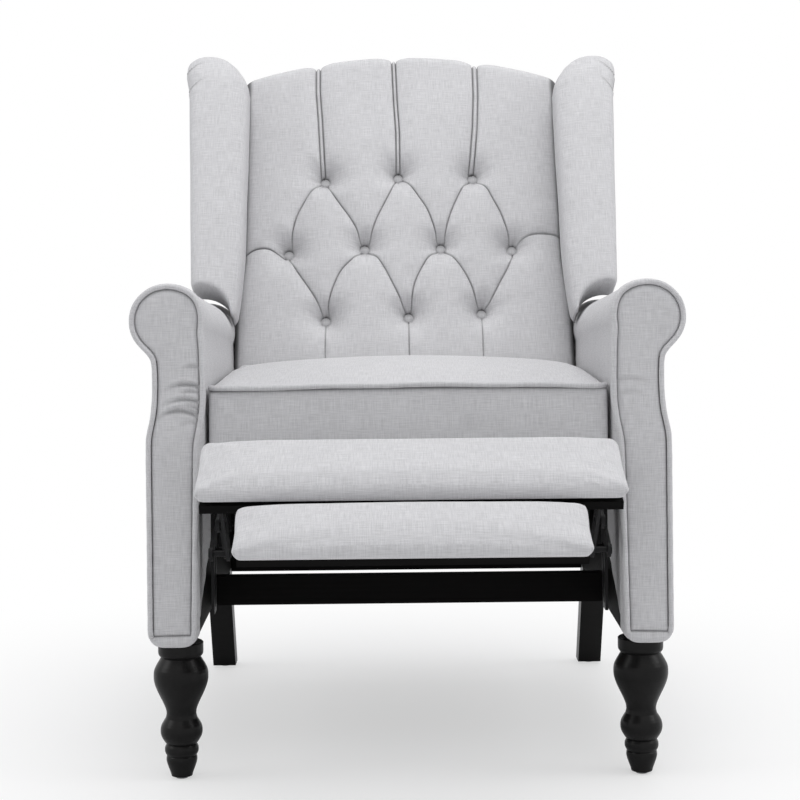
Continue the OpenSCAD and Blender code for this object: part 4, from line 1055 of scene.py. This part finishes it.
# %% [markdown]
# ## Tufted back
# The back is drawn flat, in (x, s): s runs up the front, over the top and down behind.
# Buttons sit in rows of three, four and three. Pleats run between them, single seams go
# down from the lowest row, and three narrow strips between two seams go up over the
# top. Every field between seams is its own grid and shares its edge points with its
# neighbours, so a pleat stays a sharp fold. The filling stands up between the folds.

# %% Lines of the tufted back
BACK_HALF, BACK_TOP, BACK_ARCH, BACK_FRONT, CREST, OVER_TOP = 247.0, 576.0, 44.0, -56.0, 20.0, 74.0
# Rear of the cover over the top, height of the top rail, and face of the posts
COVER_REAR, RAIL_TOP, POST_FACE = 39.8, 527.5, -11.6
ROW_HIGH = [(-122, 349), (-6, 356), (112, 353)]
ROW_MIDDLE = [(-178, 221), (-60, 229), (59, 229), (170, 225)]
ROW_LOW = [(-120, 106), (7, 111), (119, 116)]
# Pleats as they run between two buttons, by the buttons' places in their rows
UPPER_PATHS = {
    (0, 0): [(-129, 345), (-145, 323), (-157, 300), (-166, 279), (-171, 259), (-173, 243), (-173, 231)],
    (0, 1): [(-119, 345), (-111, 323), (-98, 301), (-83, 278), (-72, 257), (-66, 239)],
    (1, 1): [(-10, 350), (-18, 325), (-29, 301), (-40, 277), (-47, 257), (-52, 239)],
    (1, 2): [(3, 350), (13, 335), (25, 315), (38, 293), (46, 270), (51, 252), (53, 239)],
    (2, 2): [(107, 347), (98, 335), (87, 312), (77, 288), (70, 266), (66, 248), (65, 238)],
    (2, 3): [(118, 347), (133, 329), (143, 307), (153, 285), (160, 263), (165, 245), (166, 234)],
}
LOWER_PATHS = {
    (0, 0): [(-176, 210), (-167, 189), (-154, 168), (-142, 149), (-133, 133), (-126, 119)],
    (1, 0): [(-67, 221), (-81, 204), (-96, 186), (-106, 164), (-113, 142), (-116, 126), (-115, 116)],
    (1, 1): [(-52, 221), (-40, 208), (-28, 187), (-18, 165), (-9, 145), (-2, 128), (2, 121)],
    (2, 1): [(52, 222), (40, 209), (29, 190), (19, 168), (14, 149), (12, 130), (11, 121)],
    (2, 2): [(67, 221), (82, 201), (94, 181), (104, 158), (110, 137), (114, 126)],
    (3, 2): [(170, 212), (162, 188), (150, 165), (139, 143), (131, 130), (125, 125)],
}
EDGE_PATHS = {
    -1: [(-183, 214), (-193, 219), (-208, 224), (-226, 223), (-240, 215)],
    1: [(176, 231), (185, 238), (198, 243), (214, 245), (234, 243)],
}
EDGE_ENDS = {-1: 211, 1: 238}
# Middle lines of the strips above the buttons, and half of their widths
STRIP_PATHS = [[(-125, 357), (-130, 451), (-134, 509)], [(-6, 366), (-6, 430), (-9, 488)],
               [(110, 361), (113, 386), (118, 438), (121, 496)]]
STRIP_TOPS = [-134, -11, 121]
STRIP_HALF = [3.4, 3.0, 3.9]
PLEAT, RISER, DROP, SIDE = 48, 96, 34, 34
ARC_LENGTH = math.pi / 2 * CREST


def back_top(x):
    """Height of the back's top edge."""
    return BACK_TOP - BACK_ARCH * (np.asarray(x, float) / 250) ** 2


def rear_end(x):
    """Where the cover ends behind the top."""
    return back_top(x) - CREST + ARC_LENGTH + OVER_TOP


def through(points, count):
    """Smooth line through points, whose own points lie closer towards its ends."""
    return along_line(curve(points, 12), closing(count))


def strip_seam(i, side):
    """One seam of strip i, from its button over the top and down behind; side is -1 or 1."""
    shift = side * STRIP_HALF[i]
    top_x = STRIP_TOPS[i]
    line = [ROW_HIGH[i]] + [(x + shift, h) for x, h in STRIP_PATHS[i]]
    line += [(top_x + shift, float(back_top(top_x)) - CREST), (top_x + shift, float(rear_end(top_x)))]
    return along_line(line, closing(RISER))


def straight(start, end, count):
    """Straight line whose points lie closer towards its ends."""
    return along_line([start, end], closing(count))


def top_edge(x_from, x_to, count):
    """End of the cover behind the top."""
    x = x_from + (x_to - x_from) * closing(count)
    return np.column_stack([x, rear_end(x)])


def joined(*lines):
    """Lines one after another; shared ends count once."""
    return np.vstack([lines[0]] + [line[1:] for line in lines[1:]])


upper_folds = {(i, j): through([ROW_HIGH[i]] + path + [ROW_MIDDLE[j]], PLEAT) for (i, j), path in UPPER_PATHS.items()}
lower_folds = {(i, j): through([ROW_MIDDLE[i]] + path + [ROW_LOW[j]], PLEAT) for (i, j), path in LOWER_PATHS.items()}
pleats = [*upper_folds.values(), *lower_folds.values()]
strips = {(i, s): strip_seam(i, s) for i in range(3) for s in (-1, 1)}
drops = [straight((x, 0), (x, h), DROP) for x, h in ROW_LOW]
edge_folds = {}
for s, button in ((-1, ROW_MIDDLE[0]), (1, ROW_MIDDLE[3])):
    edge_folds[s] = through([button] + EDGE_PATHS[s] + [(s * BACK_HALF, EDGE_ENDS[s])], SIDE)

fields = []
for i in range(3):
    fields.append(field(lower_folds[i + 1, i][::-1], upper_folds[i, i][::-1], lower_folds[i, i][::-1],
                        upper_folds[i, i + 1][::-1]))
for i in (1, 2):
    low = joined(upper_folds[i - 1, i], upper_folds[i, i][::-1])
    left, right = strips[i - 1, 1], strips[i, -1]
    fields.append(field(low, top_edge(left[-1, 0], right[-1, 0], len(low)), left, right))
    high = joined(lower_folds[i, i - 1][::-1], lower_folds[i, i])
    fields.append(field(straight(drops[i - 1][0], drops[i][0], len(high)), high, drops[i - 1], drops[i]))
for s, fold, strip, rise, drop, fall in (
    (-1, edge_folds[-1], strips[0, -1], upper_folds[0, 0], drops[0], lower_folds[0, 0]),
    (1, edge_folds[1], strips[2, 1], upper_folds[2, 3], drops[2], lower_folds[3, 2]),
):
    inner = joined(rise[::-1], strip)
    outer = straight(fold[-1], (s * BACK_HALF, float(rear_end(BACK_HALF))), len(inner))
    brim = top_edge(s * BACK_HALF, strip[-1, 0], SIDE)
    below_inner = joined(drop, fall[::-1])
    below_outer = straight((s * BACK_HALF, 0), fold[-1], len(below_inner))
    sill = straight((s * BACK_HALF, 0), drop[0], SIDE)
    if s < 0:
        fields.append(field(fold[::-1], brim, outer, inner))
        fields.append(field(sill, fold[::-1], below_outer, below_inner))
    else:
        fields.append(field(fold, brim[::-1], inner, outer))
        fields.append(field(sill[::-1], fold, below_inner, below_outer))
# Each strip between two seams is a narrow grid of its own
BAND_SHARES = np.array([0, 0.12, 0.3, 0.5, 0.7, 0.88, 1])
share = BAND_SHARES[:, None]
bands = [(1 - share) * strips[i, -1][:, None] + share * strips[i, 1][:, None] for i in range(3)]

# %% [markdown]
# Depth of the surface: a pleat lies deepest at its buttons, and the filling rises from
# it as a quarter circle does. Each button pulls a dimple of its own, with fine ridges
# that run towards it.

# %% Depth of the tufted back
BUTTON_SPOTS = ROW_HIGH + ROW_MIDDLE + ROW_LOW
BUTTON_DEPTH = 27.5
# Lines that pull the filling in: depth half-way, reach, length of the pull by a button, and how much less a slit
PULLS = [(pleats, 8.5, 40, 16, 0), (list(strips.values()), 8.0, 28, 20, 0), (drops, 3.0, 22, 20, 0.5),
         (list(edge_folds.values()), 8.0, 34, 16, 0)]


def fold_pull(points, line, middle_depth, reach, tight):
    """How far a fold pulls the surface in, and the distance to it, at points."""
    near, where = nearest_on(points, line)
    to_button = np.min([np.linalg.norm(where - b, axis=1) for b in np.array(BUTTON_SPOTS, float)], axis=0)
    depth = middle_depth + (BUTTON_DEPTH - 3 - middle_depth) * np.exp(-((to_button / tight) ** 1.3))
    u = unit(near / reach)
    return depth * (1 - np.sqrt(unit(1 - (1 - u) ** 2))) ** 0.9, near


def round_button(points, x, h):
    """Offset of points from a button, their distance and their direction."""
    away = points - (x, h)
    return away, np.linalg.norm(away, axis=1), np.arctan2(away[:, 1], away[:, 0])


def tuft_sink(points):
    """Depth of the surface below its plane, for points of the padded fields."""
    pulls, nearest = [], np.full(len(points), 1e9)
    for lines, *shape, shallow in PULLS:
        for line in lines:
            pull, near = fold_pull(points, line, *shape)
            pulls.append(pull)
            nearest = np.minimum(nearest, near + shallow)
    for x, h in BUTTON_SPOTS:
        _, r, angle = round_button(points, x, h)
        ridges = 0.7 * np.sin(7 * angle + x) + 0.5 * np.sin(12 * angle + 2 * x)
        pulls.append((BUTTON_DEPTH + ridges * unit(r / 14)) * np.exp(-((np.maximum(r - 7, 0) / 19) ** 1.35)))
    total = np.sum(np.array(pulls) ** 7, axis=0) ** (1 / 7)
    slit = 2.2 * bell(nearest, 1.2)
    return np.minimum(total, BUTTON_DEPTH + 1.5) + slit


def fold_shade(points):
    """Painted shade in the folds and round the buttons, from 0 to 1."""
    shade = np.zeros(len(points))
    for lines, strength, width in (
        (pleats, 0.5, 0.95), (strips.values(), 0.7, 1.1), (drops, 0.4, 1.0), ([edge_folds[-1]], 0.7, 1.3),
        ([edge_folds[1]], 0.2, 3.0),
    ):
        for line in lines:
            shade = np.maximum(shade, strength * bell(nearest_on(points, line)[0], width))
    for x, h in BUTTON_SPOTS:
        away, r, angle = round_button(points, x, h)
        above = unit(away[:, 1] / np.maximum(r, 1))
        rays = 0.75 + 0.25 * np.cos(9 * angle + x)
        near = bell(np.maximum(r - 7, 0), 2.2)
        wide = bell(np.maximum(r - 7, 0), 9)
        shade = np.maximum(shade, 0.35 * near + 0.5 * near * above + 0.34 * wide * above**0.6 * rays)
    return shade


def place_on_back(points, sink):
    """Points of the back's own frame (x, d, h) for flat points (x, s) and their depth."""
    x, s = points.T
    near_edge = unit((np.abs(x) - (BACK_HALF - 16)) / 16)
    edge = 16 * (1 - np.sqrt(unit(1 - near_edge**2))) * 0.96
    edge += 5 * unit((np.abs(x) - (BACK_HALF - 60)) / 60) ** 2
    bottom = 10 * (1 - unit(s / 30)) ** 2
    top = back_top(x) - 0.15 * edge
    bend = back_top(x) - CREST
    a = np.pi - np.clip((s - bend) / CREST, 0, np.pi / 2)
    pull = np.minimum(sink, CREST - 4)
    on_front, on_arc = s <= bend, s <= bend + ARC_LENGTH
    beyond = np.clip(s - bend - ARC_LENGTH, 0, OVER_TOP)
    flat = unit(beyond / (OVER_TOP - 14))
    down = unit((beyond - (OVER_TOP - 14)) / 14)
    front_d = BACK_FRONT + CREST + edge
    d_arc = front_d + (CREST - pull) * np.cos(a)
    h_arc = top - CREST + (CREST - pull) * np.sin(a)
    d_back = front_d + (26 - front_d) * flat + 13.8 * down
    h_back = top - pull - 10 * down**1.6
    lowered = 0.15 * edge * unit((s - bend + 120) / 120)
    # Below the wings the cover spreads towards the arms
    spread = 3.2 + 7.6 * unit((225 - s) / 110) + 4.5 * unit((s - 400) / 90)
    x = x + np.sign(x) * spread * unit((np.abs(x) - 170) / 77) ** 1.5
    d = np.where(on_front, BACK_FRONT + sink + edge + bottom, np.where(on_arc, d_arc, d_back))
    h = np.where(on_front, s - lowered, np.where(on_arc, h_arc, h_back))
    return np.column_stack([x, np.minimum(d, COVER_REAR), h])


# %% Cover of the back
points, faces, shades = [], [], []
for grid, banded in [(g, False) for g in fields] + [(g, True) for g in bands]:
    rows, columns = grid.shape[:2]
    flat = grid.reshape(-1, 2)
    sink = tuft_sink(flat)
    if banded:
        # A strip lies low between its seams and stands up a little in its middle
        middle = np.tile(np.sin(math.pi * BAND_SHARES) ** 0.7, rows)
        sink = sink[::columns].repeat(columns) - middle * 4.4
    start = len(points)
    placed = place_on_back(flat, sink)
    points += [tuple(p) for p in placed]
    # Painted shade on the folds, and on the edge that lies in the dark between the back and the wings
    at_edge = unit((np.abs(placed[:, 0]) - 240.5 - 9 * unit((200 - flat[:, 1]) / 80)) / 4.5)
    shades += list(np.maximum(fold_shade(flat), 0.9 * at_edge * (placed[:, 1] < -10)))
    faces += grid_faces(rows, columns, start=start)
work = bmesh.new()
# The painted shade of each vertex is stored as an attribute
mask = work.verts.layers.float.new("painted_shade")
made = [work.verts.new(p) for p in points]
for vertex, shade in zip(made, shades):
    vertex[mask] = float(shade)
for f in faces:
    work.faces.new([made[k] for k in f])
bmesh.ops.remove_doubles(work, verts=work.verts, dist=0.04)
bmesh.ops.dissolve_degenerate(work, dist=0.01, edges=work.edges)
open_edges = [e for e in work.edges if e.is_boundary]
# The open edge is drawn back to the frame, then closed behind
ring = bmesh.ops.extrude_edge_only(work, edges=open_edges)
behind = [v for v in ring["geom"] if isinstance(v, bmesh.types.BMVert)]
for v in behind:
    v.co.y = COVER_REAR if v.co.z > RAIL_TOP else POST_FACE
bmesh.ops.contextual_create(work, geom=[e for e in work.edges if e.is_boundary])
bmesh.ops.recalc_face_normals(work, faces=work.faces)
print("back cover: open edges left", sum(e.is_boundary for e in work.edges))
bmesh.ops.triangulate(work, faces=[f for f in work.faces if len(f.verts) > 4])
for v in work.verts:
    v.co *= MM
mesh = bpy.data.meshes.new("back_cover")
work.to_mesh(mesh)
work.free()
mesh.transform(BACK)
mesh.polygons.foreach_set("use_smooth", [True] * len(mesh.polygons))
upholster(to_object("back_cover", mesh), "back", ["back_pad"], turn=BACK)

# %% [markdown]
# Covered buttons: a flat dome of the same linen, pulled down into its dimple.

# %% Buttons
# Radius and depth of the dome, from its back to its front
DOME = [(3, 3.5), (6.4, 3.2), (7.3, 1.6), (7.6, 0), (7.2, -1.5), (6.2, -2.9), (4.4, -3.9), (2.2, -4.5), (0.5, -4.7)]
turn = np.linspace(0, 2 * math.pi, 28, endpoint=False)
domes = []
for x, h in BUTTON_SPOTS:
    rings = []
    for r, d in DOME:
        depth = BACK_FRONT + BUTTON_DEPTH + 1.4 + 0.75 * d
        rings.append(np.column_stack([x + r * np.cos(turn), np.full(28, depth), h + r * np.sin(turn)]))
    domes.append(skin(f"button_{len(domes)}", rings, BACK))
only(*domes)
bpy.ops.object.join()
buttons = bpy.context.object
buttons.name = "back_buttons"
# Painted shade: a button lies in shade under the cloth above it, so it is painted a little darker, and its upper part
# more
away = spots_of(buttons, BACK)[:, None, [0, 2]] - np.array(BUTTON_SPOTS, float)
away = away[np.arange(len(away)), np.linalg.norm(away, axis=2).argmin(axis=1)]
mark_painted_shade(buttons, 0.14 + 0.4 * unit((away[:, 1] + 1) / 8))
upholster(buttons, "back", ["tuft_buttons"], turn=BACK)

# %% [markdown]
# ## Wings
# A wing is a padded board beside the back. Its front is broad and nearly flat with a
# rounded inner edge, it narrows towards its lower end, and its top is a dome whose
# cloth is gathered in small folds on the outside.

# %% Wings
WING_IN, WING_OUT, WING_TAPER, WING_FRONT, WING_TOP = 252.0, 339.5, 20.5, -142.0, 541.0
WING_BOTTOM, WING_NOTCH, WING_FLARE, WING_REAR = 132.0, -60.0, 9.0, 41.6
DOME_START, WING_SWELL, WING_AXIS = 0.85, 11.5, -50.0
# Gathered folds outside the dome: height at the outer edge, and rise per mm towards the middle
FOLDS = {-1: [(461, 0.79), (499, 0.85)], 1: [(453, 1.07), (487, 1.13)]}


def wing_low(x, d):
    """Height of the wing's underside along the back: it follows the arm's roll with a little room."""
    across = np.minimum(np.abs(x - ROLL_X), ROLL_R)
    fall = ROLL_R - np.sqrt(ROLL_R**2 - across**2)
    along = np.where(d < WING_NOTCH, 0.135 * (d - WING_NOTCH), 0.75 * (np.minimum(d, 20) - WING_NOTCH))
    return WING_BOTTOM - 1.05 * fall + along


def wing_ring(t, inset):
    """Section of the wing at share t of its height, as (x, d), drawn in by inset."""
    out = WING_OUT - WING_TAPER * (1 - t) ** 0.9
    front = WING_FRONT + 18 * t**6
    inner = WING_IN + WING_FLARE * (1 - min(t / 0.25, 1)) ** 1.5
    mid = (inner + out) / 2
    half = (out - inner) / 2
    path = []
    # Front face: nearly flat, with a rounded edge towards the inside and a tighter one outside
    for a in np.linspace(0, 1, 49):
        c, s = math.cos(math.pi * (1 + a)), math.sin(math.pi * (1 + a))
        path.append((mid + half * math.copysign(abs(c) ** 0.5, c), front + 30 + 30 * math.copysign(abs(s) ** 0.62, s)))
    path += [(out, y) for y in np.linspace(front + 42, 26, 14)]
    path += [(out - 1.5, 34), (out - 6, WING_REAR - 1), (out - 12, WING_REAR)]
    path += [(x, WING_REAR) for x in np.linspace(out - 24, inner + 10, 5)]
    path += [(inner + 2, WING_REAR - 1), (inner, 34)]
    # The inner side swells in front of the back's edge
    path += [(inner - WING_SWELL * min(1, max(0, (-55 - y) / 25)), y) for y in np.linspace(24, front + 42, 16)]
    flat = np.array(path)
    flat[:, 0] -= WING_SWELL * unit((mid - flat[:, 0]) / half) ** 3 * (flat[:, 1] < front + 40)
    dome = unit((t - DOME_START) / (1 - DOME_START))
    centre = np.array([mid + 12 * min(1, 1.5 * dome), WING_AXIS])
    reach = np.array([half + 6, 131.0])
    return centre + (flat - [mid, WING_AXIS]) * np.clip(1 - inset / reach, 0.02, 1)


def wing_folds(side, x, d, h, t):
    """How far the gathered folds outside the dome go in, and how much painted shade lies in them."""
    gather, dark = np.zeros(len(x)), np.zeros(len(x))
    for fold_h, slope in FOLDS[side]:
        over = h - fold_h - slope * np.clip(WING_OUT - x, 0, 60)
        there = np.exp(-((WING_OUT - x) / 22) ** 2) * (d < -20) * unit((t - 0.73) / 0.02)
        gather += there * (2.0 * bell(over, 1.9) - 1.7 * (over > 0) * np.exp(-np.maximum(over, 0) / 10))
        dark = np.maximum(dark, 0.95 * there * bell(over, 1.3))
    return gather, dark


def wing_cover(side):
    """Padded cover of one wing."""
    label = SIDES[side]
    top = WING_TOP + {1: -2.5, -1: 3}[side]
    levels = [(0, 4.5), (0.003, 2.4), (0.008, 1.0), (0.014, 0.3), (0.02, 0)]
    levels += [(t, 0) for t in (*np.linspace(0.035, 0.72, 26), *np.linspace(0.73, DOME_START, 30))]
    for u in np.sin(np.linspace(0.05, 0.5 * math.pi, 34)):
        levels.append((DOME_START + (1 - DOME_START) * u, 50 * (1 - math.sqrt(max(0, 1 - u**2.1)))))
    rings = []
    # The underside, from its middle outwards
    first = wing_ring(0, 4.5)
    middle = np.array([first[:, 0].mean(), WING_NOTCH])
    for share in (0.03, 0.2, 0.4, 0.6, 0.8):
        ring = middle + (first - middle) * share
        x, d = ring.T
        rings.append(np.column_stack([side * x, d, wing_low(x, d)]))
    for t, inset in levels:
        ring = wing_ring(min(t, 1), inset)
        x, d = ring.T
        low = wing_low(x, d)
        h = low + (top - low) * t
        # Folds gathered outside the dome, and a soft wave over the whole cover
        gather = wing_folds(side, x, d, h, t)[0]
        wave = 0.5 * np.sin(h * 0.022 + x * 0.05) + 0.35 * np.sin(h * 0.047 + d * 0.03)
        inward = np.column_stack([x - (WING_IN + 43), d - WING_AXIS])
        inward /= np.linalg.norm(inward, axis=1)[:, None] + 1e-9
        push = gather + 0.6 * wave * unit((t - 0.05) / 0.1) * (d < 20) - 0.5
        moved = ring + inward * push[:, None]
        rings.append(np.column_stack([side * moved[:, 0], np.minimum(moved[:, 1], WING_REAR), h]))
    cover = skin(f"wing_cover_{label}", rings, BACK)
    x, d, h = spots_of(cover, BACK).T
    # Painted shade in the gathered folds
    mark_painted_shade(cover, wing_folds(side, np.abs(x), d, h, 1)[1])
    upholster(cover, "back", [f"wing_{label}"], turn=BACK)


for side in SIDES:
    wing_cover(side)

# %% [markdown]
# ## Behind and below
# The outside back is one tight panel with an arched top, sewn blind along its edges.
# The rear apron has a cover of the same linen.

# %% Outside back and apron
PANEL_HALF, SKIRT = 251.0, -57.4
u = np.linspace(-1, 1, 61)
v = np.linspace(0, 1, 71)[:, None]
x = PANEL_HALF * u
h = SKIRT + (back_top(x) - 13.0 - SKIRT) * v
base = np.stack([np.broadcast_to(x, h.shape), np.full(h.shape, 40.2), h], axis=-1)
rim = np.minimum((1 - np.abs(u)) * PANEL_HALF, np.minimum(v, 1 - v) * 600)
rise = rounded(rim, 12.6, 3.0) + unit(rim / 120)
rise += (0.3 * np.sin(x * 0.03 + h * 0.018) + 0.2 * np.sin(x * 0.07 - h * 0.031)) * unit(rim / 20)
upholster(thick_sheet("outside_back", base, rise, (0, 1, 0), BACK), "back", ["back_outside_panel"], turn=BACK)
APRON_HALF, APRON_LOW, APRON_HIGH, APRON_FACE = 275.5, 168.4, 399.6, 610.1
corners = [(x * APRON_HALF, APRON_FACE, z)
           for x, z in ((-1, APRON_LOW), (1, APRON_LOW), (1, APRON_HIGH), (-1, APRON_HIGH))]
apron = soft_sheet("apron_cover", corners, 40, 80, 2.7, 0.15, (0, 1, 0), lambda U, V: 0.1 * np.sin(U * 26 + V * 5))
upholster(apron, "base", ["rear_apron_cover"])
